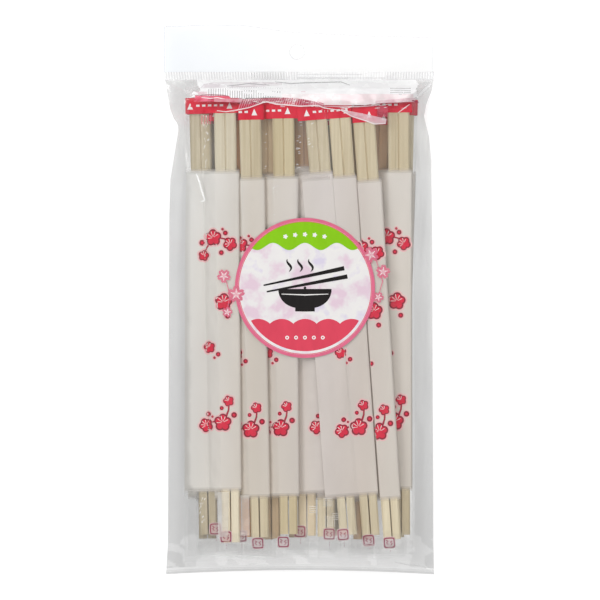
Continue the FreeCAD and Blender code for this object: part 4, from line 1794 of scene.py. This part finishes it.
    def back(self, x: Array, y: Array) -> Array:
        """Height of the back film.

        Args:
            x: Places across by section, in mm.
            y: Place along of each section, in mm.

        Returns:
            The heights in mm.
        """
        left, right = self.sides(y)
        room = np.minimum(x - left, right - x)
        side = self.fold_height * (1 - smoothstep(0.0, self.side_round, room)) ** 1.4
        low = self.bag.bottom(y)
        share = np.clip(self.bag.fill(y), 0, 1)
        return low + side * share * (1 - low / self.bag.seal_rise) + 0.05 * (1 + self.drawn.at(x + 30, y))

    def front_at(self, x: Array, y: Array) -> Array:
        """Height of the front film at places that aren't in sections.

        Args:
            x: Places across, in mm.
            y: Places along, in mm.

        Returns:
            The heights in mm.
        """
        left, right = self.sides(y)
        column = np.clip((x - left) / (right - left), 0.0, 1.0) * (self.front_columns - 1)
        row = np.interp(y, self.front_y, np.arange(len(self.front_y)))
        i = np.minimum(row.astype(int), len(self.front_y) - 2)
        j = np.minimum(column.astype(int), self.front_columns - 2)
        low = self.front_z[i, j] * (1 - column + j) + self.front_z[i, j + 1] * (column - j)
        high = self.front_z[i + 1, j] * (1 - column + j) + self.front_z[i + 1, j + 1] * (column - j)
        return low * (1 - row + i) + high * (row - i)

    def edges(self, y: Array, columns: int) -> Array:
        """Places across the bag between its side folds, for each section along it."""
        left, right = self.sides(y)
        return left + (right - left) * np.linspace(0, 1, columns)

    def bow(self, x: Array, y: Array) -> Array:
        """Places along, with the welded bottom bowed upward in its middle."""
        near = 1 - smoothstep(-129.0, -112.0, y)
        return y + self.bottom_bow * near * (1 - (x / 63.0) ** 2)

    def face_slots(self, x: Array, y: Array, front: bool) -> Array:
        """Pick a finish for each face of the front or back film.

        Args:
            x: Places across of the vertices, in mm.
            y: Place along of each section, in mm.
            front: Whether it is the front film, which is gathered under the seal, near white there partly as
                painted sheen, and with spots of painted pink sheen.

        Returns:
            The material slot of each face.
        """
        mid_x = (x[1:, 1:] + x[:-1, :-1]) / 2
        mid_y = (y[1:] + y[:-1]) / 2
        patches = self.patches.at(mid_x + 3 * self.warp.at(mid_x, mid_y), mid_y)
        room = np.minimum(mid_x - np.interp(mid_y, [-94.0, -86.0], [-48.6, -53.4]), 55.2 - mid_x)
        foot = 1 - smoothstep(-116.0, -106.0, mid_y)
        clear = smoothstep(0.0, 3.0, room) * (1 - foot) + (0.12 + 0.50 * smoothstep(-9.0, 12.0, room)) * foot
        clear = clear * (1 - smoothstep(95.0, 99.0, mid_y))
        slots = np.clip(np.round(4 * clear + 0.35 * patches), 0, 4).astype(int)
        if front:
            # Under the seal: near-white gathered film, partly painted sheen, and scattered spots of painted
            # pink sheen
            head = smoothstep(88.0, 97.0, mid_y) - 1.2 * smoothstep(49.0, 58.0, np.abs(mid_x - 3))
            gathered = (head + 0.35 * patches > 0.66) & (mid_y > 95.4 + 0.5 * patches)
            slots[gathered] = BagSlot.GATHERED.value
            pink_sheen = (mid_y > 91.0) & (mid_y < 98.5) & (patches < -0.5) & (np.abs(mid_x) < 50)
            slots[pink_sheen] = BagSlot.BLUSH.value
        return slots

    @staticmethod
    def finishes() -> list[Material]:
        """Make the bag's finishes, from hazy to clear film with painted shade toward the foot and left side,
        and then those of the folds with their painted highlights, sheen and shade.

        Returns:
            The materials in the order of BagSlot.
        """
        finishes = []
        for grade in range(BagSlot.CLEAR.value + 1):
            clear = grade / BagSlot.CLEAR.value
            dull = 0.42 - 0.06 * clear
            bright = 0.70 - 0.08 * clear
            # Painted shade: hazier grades darken more toward the foot, and every grade a little toward the
            # left
            finishes.append(FilmFinish(
                f"bag_film_{grade + 1}", (dull, dull, dull * 0.985), (bright, bright, bright * 0.99),
                0.24 - 0.16 * clear, 0.35 - 0.2 * clear, 0.16, 0.0004 - 0.0002 * clear, 220.0, 0.2,
                painted_foot_shade=0.24 + 0.6 * clear, painted_left_shade=0.9,
            ))
        for slot, (dull, bright, cover) in FOLD_TONES.items():
            mirror = 0.0 if slot in MATT_FOLDS else 0.1
            name = f"bag_{slot.name.lower()}"
            finishes.append(FilmFinish(name, dull, bright, cover, mirror, 0.25, 0.0003, 160.0, 1.0))
        return [finish.make() for finish in finishes]

    def weld(self, draft: MeshDraft) -> None:
        """Add the welded bottom strip, of both films.

        Args:
            draft: Mesh to add to.
        """
        y = np.linspace(self.bag.bottom_y - self.bottom_over, self.bag.weld_top, 4)[:, None]
        x = self.edges(y, self.weld_columns)
        grades = [BagSlot.FILM.value, BagSlot.FILM_SECOND.value, BagSlot.FILM_THIRD.value]
        for lift in (0.0, self.film_gap):
            places = joined(x, self.bow(x, y), self.bag.seal_rise + lift)
            draft.add(places, np.repeat(grades, self.weld_columns - 1))

    def crimp(self, draft: MeshDraft) -> None:
        """Add the crimped seal, upright ridges with painted shade in their valleys; in a stretch right of
        the middle they are painted plain white, with a few grey rows of painted shade.

        Args:
            draft: Mesh to add to.
        """
        low = self.bag.seal_foot
        high = self.bag.seal_top + self.seal_over
        y = np.linspace(low, high, 8)[:, None]
        columns = 1 + self.ridge_points * round(self.seal_width / self.ridge_step)
        x = self.edges(y, columns)
        fade = np.sin(np.pi * (y - low) / (high - low)) ** 0.4
        wave = np.sin(np.arange(columns) * 2 * math.pi / self.ridge_points)
        mid_x = (x[0, 1:] + x[0, :-1]) / 2
        pressed = (mid_x > self.pressed[0]) & (mid_x < self.pressed[1])
        # Painted shade: valleys take the grey rib finish, darker grey in one stretch; in the plain stretch
        # only a few grey rows stay
        grey = (mid_x > self.grey_ridges[0]) & (mid_x < self.grey_ridges[1])
        crest = np.arange(columns - 1) % self.ridge_points < self.ridge_points // 2
        painted_valley_shade = np.where(grey, BagSlot.GREY.value, BagSlot.RIB.value)
        row = np.where(pressed | crest, BagSlot.CRIMP.value, painted_valley_shade)
        slots = np.repeat(row[None], len(y) - 1, axis=0)
        slots[1, pressed & (mid_x < self.grey_press)] = BagSlot.GREY.value
        slots[1, pressed & (mid_x > self.grey_press)] = BagSlot.RIB.value
        slots[4, pressed & (mid_x < self.rib_press)] = BagSlot.RIB.value
        slots[0, mid_x > self.pressed[1]] = BagSlot.RIB.value
        draft.add(joined(x, y, self.bag.seal_rise + self.ridge_height * wave * fade), slots)

    def lay_folds(self, draft: MeshDraft) -> None:
        """Lay the folds and glints on the front film, each a little over the one before; most carry painted
        highlights, sheen or shade.

        Args:
            draft: Mesh to add to.
        """
        sheets = list(FOLDS_AND_PAINTED_LIGHT)
        for index, row in enumerate(GLINTS):
            sheets += row.folds(self.glint_seed + index)
        for order, fold in enumerate(sheets):
            grid = fold.grid()
            x, y = grid[..., 0], grid[..., 1]
            z = self.front_at(x, y) + self.fold_lift + self.fold_step * min(order, self.lifted_folds)
            draft.add(joined(x, y, z), fold.face_slots(grid.shape[1]))

    def build(self) -> Piece:
        """Make the bag.

        Returns:
            The bag.
        """
        draft = MeshDraft()
        foot, foot_rows = self.foot_part
        middle, middle_rows = self.middle_part
        self.front_y = np.concatenate([
            np.linspace(self.bag.weld_top, foot, foot_rows)[:-1],
            np.linspace(foot, middle, middle_rows)[:-1],
            np.linspace(middle, self.bag.seal_foot, self.head_rows),
        ])
        y = self.front_y[:, None]
        x = self.edges(y, self.front_columns)
        self.front_z = self.front(x, y)
        draft.add(joined(x, self.bow(x, y), self.front_z), self.face_slots(x, y, True))
        x = self.edges(y, self.back_columns)
        draft.add(joined(x, self.bow(x, y), self.back(x, y)), self.face_slots(x, y, False))
        self.weld(draft)
        self.crimp(draft)
        self.lay_folds(draft)
        piece = draft.build("clear_bag", self.finishes())
        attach(piece, "root")
        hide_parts("bag_film")
        return piece


@dataclass
class HeaderStrip:
    """The white hang header above the seal, with its round hole."""

    low: Vector
    high: Vector
    seal_top: float
    seal_gap: float = 0.9
    hole_x: float = -0.9
    hole_y: float = 117.5
    hole_radius: float = 3.3
    hole_square: float = 6.0
    face: float = 5.12
    cut_width: float = 0.35
    hole_rim: float = 0.3
    rim_lift: float = 0.04
    top_line: tuple[tuple[float, ...], tuple[float, ...]] = (
        (-64.0, -49.0, -25.0, -4.0, 30.0, 64.0), (129.6, 130.2, 130.2, 127.0, 125.4, 124.4),
    )

    def __post_init__(self) -> None:
        """Set the header's foot and sides, the angles round its hole and the noise of its film."""
        self.foot = self.seal_top + self.seal_gap
        self.left = self.low.x / MM
        self.right = self.high.x / MM
        self.angle = np.linspace(0, 2 * math.pi, 97)
        self.wave = Ripple(91, 30.0, 60.0)

    def height(self, x: Array, y: Array) -> Array:
        """Height of the header's face at places across and along, in mm."""
        curl = smoothstep(118.0, 129.0, y)
        return self.face + 0.35 * curl * self.wave.at(x, y) - 0.5 * smoothstep(30.0, 64.0, -x) * curl

    def round_hole(self, reach: Array | float) -> tuple[Array, Array]:
        """Places across and along of lines round the hole, at radii from its middle."""
        return self.hole_x + reach * np.cos(self.angle), self.hole_y + reach * np.sin(self.angle)

    def sheet(self, draft: MeshDraft, x: Array, y: Array) -> None:
        """Add a patch of the header's film to a mesh, by places across and along in mm."""
        draft.add(joined(x, y, self.height(x, y)), 0)

    def rim(self, draft: MeshDraft) -> None:
        """Add the cut edges of the header and of its hole, drawn as faint grey lines of painted shade.

        Args:
            draft: Mesh to add to.
        """
        x = np.linspace(self.left, self.right, 120)
        top = np.interp(x, *self.top_line)
        strips = [((x, top), (x, top - self.cut_width))]
        for edge in (x[0], x[-1]):
            y = np.linspace(self.foot, np.interp(edge, *self.top_line), 20)
            strips.append(((edge, y), (edge * 0.995, y)))
        strips.append((self.round_hole(self.hole_radius), self.round_hole(self.hole_radius + self.hole_rim)))
        for strip in strips:
            lines = [joined(x, y, self.height(x, y) + self.rim_lift) for x, y in strip]
            draft.add(np.stack(lines), 1)

    def build(self) -> Piece:
        """Make the header.

        Returns:
            The header.
        """
        draft = MeshDraft()
        half = self.hole_square
        stops = (self.left, self.hole_x - half, self.hole_x + half, self.right)
        for column, columns in enumerate((50, 13, 52)):
            x = np.linspace(stops[column], stops[column + 1], columns)
            levels = (self.foot, self.hole_y - half, self.hole_y + half, np.interp(x, *self.top_line))
            for row, rows in enumerate((6, 13, 8)):
                if (column, row) == (1, 1):
                    continue
                share = np.linspace(0, 1, rows)[:, None]
                self.sheet(draft, x, levels[row] + (levels[row + 1] - levels[row]) * share)
        square = half / np.maximum(np.abs(np.cos(self.angle)), np.abs(np.sin(self.angle)))
        reach = self.hole_radius + (square - self.hole_radius) * np.linspace(0, 1, 7)[:, None]
        self.sheet(draft, *self.round_hole(reach))
        self.rim(draft)
        # Painted shade: faint grey lines along the cut edges
        edge = InkFinish("header_edge_shade", (0.50, 0.51, 0.53), 0.2, 0.35, 0.02, 60.0)
        piece = draft.build("hang_header", [self.white_film(), edge.make()])
        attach(piece, "root")
        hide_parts("header_strip")
        return piece

    @staticmethod
    def white_film() -> Material:
        """Make the header's white film, bluer and darker toward the left, which is painted shade.

        Returns:
            The film's material.
        """
        desk = NodeDesk("header_white")
        # Painted shade: bluer and darker toward the left end
        stops = [(0.0, (0.80, 0.86, 0.94)), (0.55, (0.88, 0.92, 0.96)), (1.0, (0.97, 0.97, 0.97))]
        tone = desk.ramp(desk.slope("X", -0.064, 0.0), "Result", stops)
        mottle = desk.noise(desk.places(), 60.0, 2.0)
        return desk.finish(tone, "Color", mottle, (0.3, 0.42), Alpha=0.42)


# ---- the label


class LabelInk(Enum):
    """Inks of the round label, in the order of its material slots."""

    GROUND = 0
    PINK = 1
    GREEN = 2
    RED = 3
    BLACK = 4
    WHITE = 5
    BLOSSOM = 6
    BLOSSOM_PALE = 7


@dataclass
class RoundLabel:
    """The round sticker on the front: a plain bowl and chopsticks between a green and a red field.

    Its print lies in numbered layers over its face, so that each covers the ones under it.
    """

    low: Vector
    high: Vector
    draft: MeshDraft = field(default_factory=MeshDraft)
    ring_width: float = 1.5
    ring_gap: float = 0.1
    hairline: float = 0.3
    layer_height: float = 0.01
    round_points: int = 120
    blossoms: tuple[tuple[Spot, float, float], ...] = (
        ((-32.4, -3.0), 4.2, 0.3), ((-38.2, 5.6), 3.4, 0.9), ((-36.6, -11.4), 2.6, 0.1),
        ((31.0, 15.6), 4.0, 0.7), ((36.8, 7.6), 3.5, 0.2), ((34.6, -4.4), 2.7, 1.1),
    )
    twigs: tuple[Line, ...] = (
        ((-37.0, 3.0), (-35.4, -3.5), (-36.4, -9.4)), ((33.4, 13.6), (36.6, 3.0), (34.8, -3.0)),
    )
    sticks: tuple[Line, ...] = (((-19.5, 1.2), (18.5, 9.3)), ((-18.0, -1.8), (20.0, 5.4)))

    def __post_init__(self) -> None:
        """Work out the label's middle, radius and face."""
        self.middle = (self.low + self.high) / 2 / MM
        self.radius = (self.high.x - self.low.x) / 2 / MM
        self.face = self.high.z / MM

    def lay(self, spots: Array, layer: int, ink: LabelInk) -> None:
        """Lay a printed grid on the label.

        Args:
            spots: Places across and along from the label's middle, in mm.
            layer: Its layer over the label's face.
            ink: Its ink.
        """
        x = spots[..., 0] + self.middle.x
        y = spots[..., 1] + self.middle.y
        self.draft.add(joined(x, y, self.face + layer * self.layer_height), ink.value)

    def spot(self, middle: Spot, reach: Outline, layer: int, ink: LabelInk, inner: float = 0.02) -> None:
        """Lay a shape whose outline is a radius for each angle, from the inner share of it out."""
        self.lay(filled(middle, reach, inner, 4, self.round_points), layer, ink)

    def stroke(
        self, line: Line | Array, widths: Array | tuple[float, ...], layer: int, ink: LabelInk
    ) -> None:
        """Lay a brush stroke along points, with its width at each, in mm."""
        self.lay(ribbon(np.array(line), np.array(widths)), layer, ink)

    @staticmethod
    def between(x: Array, line: Array, end: Array, rows: int) -> Array:
        """Places in rows from one line to another, both given at the same places across."""
        share = np.linspace(0, 1, rows)[:, None]
        return np.stack(np.broadcast_arrays(x, line * (1 - share) + end * share), axis=-1)

    def field_beyond(self, edge: Outline, layer: int, ink: LabelInk, way: int, reach: float) -> None:
        """Fill the part of the label between an edge line and its rim.

        Args:
            edge: Gives the edge's place along for places across, in mm.
            layer: Its layer over the label's face.
            ink: Its ink.
            way: 1 for the part above the edge and -1 for the part below.
            reach: Radius of the field's rim, in mm.
        """
        x = np.linspace(-reach, reach, 241)
        rim = way * np.sqrt(np.maximum(reach ** 2 - x ** 2, 0.0))
        line = edge(x)
        keep = way * (rim - line) > 0.02
        self.lay(self.between(x[keep], line[keep], rim[keep], 7), layer, ink)

    def blossom(self, middle: Spot, radius: float, turn: float) -> None:
        """Lay a cherry blossom with notched petals.

        Args:
            middle: Its middle across and along, in mm.
            radius: Radius of the blossom, in mm.
            turn: Its turn, in radians.
        """

        def petals(angle: Array) -> Array:
            """Give the blossom's radius at an angle."""
            off = petal_angle(angle, turn)
            return radius * (0.5 + 0.5 * np.cos(off * 2.45) ** 0.6 - 0.16 * np.exp(-(off / 0.09) ** 2))

        self.spot(middle, petals, 9, LabelInk.BLOSSOM)
        self.spot(middle, lambda angle: petals(angle) * 0.45, 11, LabelInk.BLOSSOM_PALE)
        for petal in range(5):
            angle = turn + petal * 2 * math.pi / 5
            way = np.array([math.cos(angle), math.sin(angle)])
            line = np.array(middle) + np.outer(np.linspace(0.12, 0.62, 4) * radius, way)
            self.stroke(line, np.linspace(0.15, 0.32, 4), 13, LabelInk.WHITE)

    def bowl(self) -> None:
        """Lay the bowl with its two chopsticks and its steam."""
        x = np.linspace(-12.5, 12.5, 61)
        belly = -0.5 - 9.2 * np.sqrt(np.maximum(1 - (np.abs(x) / 12.6) ** 2.6, 0.0))
        self.lay(self.between(x, np.full_like(x, -0.5), belly, 5), 7, LabelInk.BLACK)
        self.stroke(((-4.6, -10.2), (0.0, -10.3), (4.6, -10.2)), (1.7, 1.7, 1.7), 8, LabelInk.BLACK)
        self.stroke(((-11.0, -2.9), (0.0, -3.3), (11.0, -2.9)), (0.3, 0.55, 0.3), 9, LabelInk.WHITE)
        for stick in self.sticks:
            self.stroke(np.linspace(*stick, 9), np.linspace(0.7, 2.0, 9), 10, LabelInk.BLACK)
        for steam in (-7.5, -2.4, 2.7):
            rise = np.linspace(0, 1, 15)
            line = np.stack([steam + 1.0 * np.sin(rise * 5.4), 7.6 + rise * 6.0], axis=1)
            self.stroke(line, 0.15 + 1.0 * np.sin(np.pi * rise), 10, LabelInk.BLACK)

    def paper(self) -> None:
        """Lay the label's face and its cut edge."""
        self.spot((0, 0), lambda _: self.radius, 0, LabelInk.GROUND)
        angle = np.linspace(0, 2 * math.pi, self.round_points + 1)
        x = self.middle.x + self.radius * np.cos(angle)
        y = self.middle.y + self.radius * np.sin(angle)
        levels = np.array([[self.face], [self.low.z / MM]])
        self.draft.add(joined(x, y, levels), LabelInk.GROUND.value)

    def build(self) -> Piece:
        """Make the label.

        Returns:
            The label.
        """
        self.paper()
        rim = self.radius - self.ring_width
        self.spot((0, 0), lambda _: self.radius, 2, LabelInk.PINK, rim / self.radius)
        rim = rim - self.ring_gap
        self.spot((0, 0), lambda _: rim, 4, LabelInk.RED, 1 - self.hairline / rim)
        self.field_beyond(lambda x: 19.5 + 1.7 * np.cos(x * 2 * math.pi / 15.0), 3, LabelInk.GREEN, 1, rim)
        self.field_beyond(
            lambda x: -17.0 + 2.4 * np.abs(np.cos(x * math.pi / 11.0)) ** 0.7, 3, LabelInk.RED, -1, rim - 1.6
        )
        for step in range(-2, 3):
            star = (step * 4.6, 25.2 - 0.25 * step ** 2)
            self.spot(star, lambda angle: 0.95 + 0.2 * np.cos(5 * angle), 5, LabelInk.WHITE)
            self.spot((step * 4.2, -23.4), lambda _: 0.9, 5, LabelInk.WHITE, 0.45)
        self.bowl()
        for blossom in self.blossoms:
            self.blossom(*blossom)
        for twig in self.twigs:
            self.stroke(twig, (0.35, 0.55, 0.3), 6, LabelInk.BLOSSOM)
        piece = self.draft.build("round_sticker", self.inks())
        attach(piece, "root")
        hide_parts("round_label")
        return piece

    @staticmethod
    def inks() -> list[Material]:
        """Make the label's inks.

        Returns:
            The materials in the order of LabelInk.
        """
        ground = NodeDesk("label_ground")
        tone = ground.ramp(ground.noise(ground.places(), 95.0, 3.0), "Fac", [
            (0.36, (0.80, 0.62, 0.72)), (0.46, (0.86, 0.83, 0.83)), (0.56, (0.88, 0.86, 0.84)),
            (0.66, (0.74, 0.68, 0.82)),
        ])
        ground.link(tone, "Color", ground.shader, "Base Color")
        ground.shader.inputs["Roughness"].default_value = 0.35
        finishes = [
            InkFinish("label_pink", (0.76, 0.16, 0.27), 1.0, 0.35),
            InkFinish("label_green", (0.26, 0.60, 0.01), 1.0, 0.35),
            InkFinish("label_red", (0.74, 0.068, 0.115), 1.0, 0.35),
            InkFinish("label_black", (0.012, 0.010, 0.010), 1.0, 0.45, 0.2),
            InkFinish("label_white", (0.92, 0.90, 0.88), 1.0, 0.35),
            InkFinish("label_blossom", (0.80, 0.20, 0.30), 0.8, 0.35),
            InkFinish("label_blossom_pale", (0.92, 0.52, 0.58), 0.8, 0.35),
        ]
        return [ground.material] + [finish.make() for finish in finishes]


# ---- the stage


@dataclass
class Studio:
    """Floor, lamps, world and the camera that looks straight down on the pack."""

    camera_height: float = 2.2
    view_width: float = 0.2832
    view_level: float = 0.013
    middle_x: float = 0.00047
    floor_half: float = 1500.0
    floor_level: float = -0.02
    world_strength: float = 0.33
    lamps: tuple[tuple[str, Triple, float, float], ...] = (
        ("key_lamp", (-0.80, 0.50, 1.10), 0.6, 7.0),
        ("fill_lamp", (0.95, -0.10, 1.20), 1.0, 2.0),
        ("top_lamp", (0.10, 1.30, 0.60), 1.1, 7.5),
        ("front_lamp", (0.10, -0.95, 1.90), 1.0, 11.2),
    )

    def build(self) -> None:
        """Make the stage."""
        self.floor()
        for lamp in self.lamps:
            self.lamp(*lamp)
        self.camera()
        world = bpy.data.worlds.new("studio_world")
        world.use_nodes = True
        backdrop = world.node_tree.nodes["Background"]
        backdrop.inputs["Color"].default_value = (1.0, 1.0, 1.0, 1.0)
        backdrop.inputs["Strength"].default_value = self.world_strength
        scene = bpy.context.scene
        scene.world = world
        scene.view_settings.view_transform = "Standard"
        scene.cycles.transparent_max_bounces = 32

    def floor(self) -> None:
        """Make the floor under the pack."""
        draft = MeshDraft()
        edge = np.linspace(-self.floor_half, self.floor_half, 5)
        draft.add(joined(edge, edge[:, None], self.floor_level), 0)
        draft.build("studio_floor", [StageFinish().make()])

    def lamp(self, name: str, place: Triple, size: float, power: float) -> None:
        """Hang a soft lamp that points at the pack.

        Args:
            name: Name of the lamp.
            place: Its place, in metres.
            size: Side of its square panel, in metres.
            power: Its power, in watts.
        """
        light = bpy.data.lights.new(name, "AREA")
        light.shape = "SQUARE"
        light.size = size
        light.energy = power
        lamp = bpy.data.objects.new(name, light)
        lamp.location = place
        lamp.rotation_euler = (-Vector(place)).to_track_quat("-Z", "Y").to_euler()
        bpy.context.scene.collection.objects.link(lamp)

    def camera(self) -> None:
        """Set the camera over the pack."""
        data = bpy.data.cameras.new("overhead_camera")
        data.sensor_width = 36.0
        distance = self.camera_height - self.view_level
        data.lens = data.sensor_width * distance / self.view_width
        camera = bpy.data.objects.new("overhead_camera", data)
        camera.location = (self.middle_x, 0.0, self.camera_height)
        bpy.context.scene.collection.objects.link(camera)
        bpy.context.scene.camera = camera


def main() -> None:
    """Build every piece."""
    logging.basicConfig(level=logging.INFO, format="%(message)s")
    shape = BagShape(*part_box("bag_film"))
    axes = Contents(shape).build()
    bag = BagFilm(shape, axes)
    header = HeaderStrip(*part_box("header_strip"), shape.seal_top)
    label = RoundLabel(*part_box("round_label"))
    for part in (bag, header, label):
        piece = part.build()
        LOG.info("%s: %d faces", piece.name, len(piece.data.polygons))
    Studio().build()


if __name__ == "__main__":
    main()
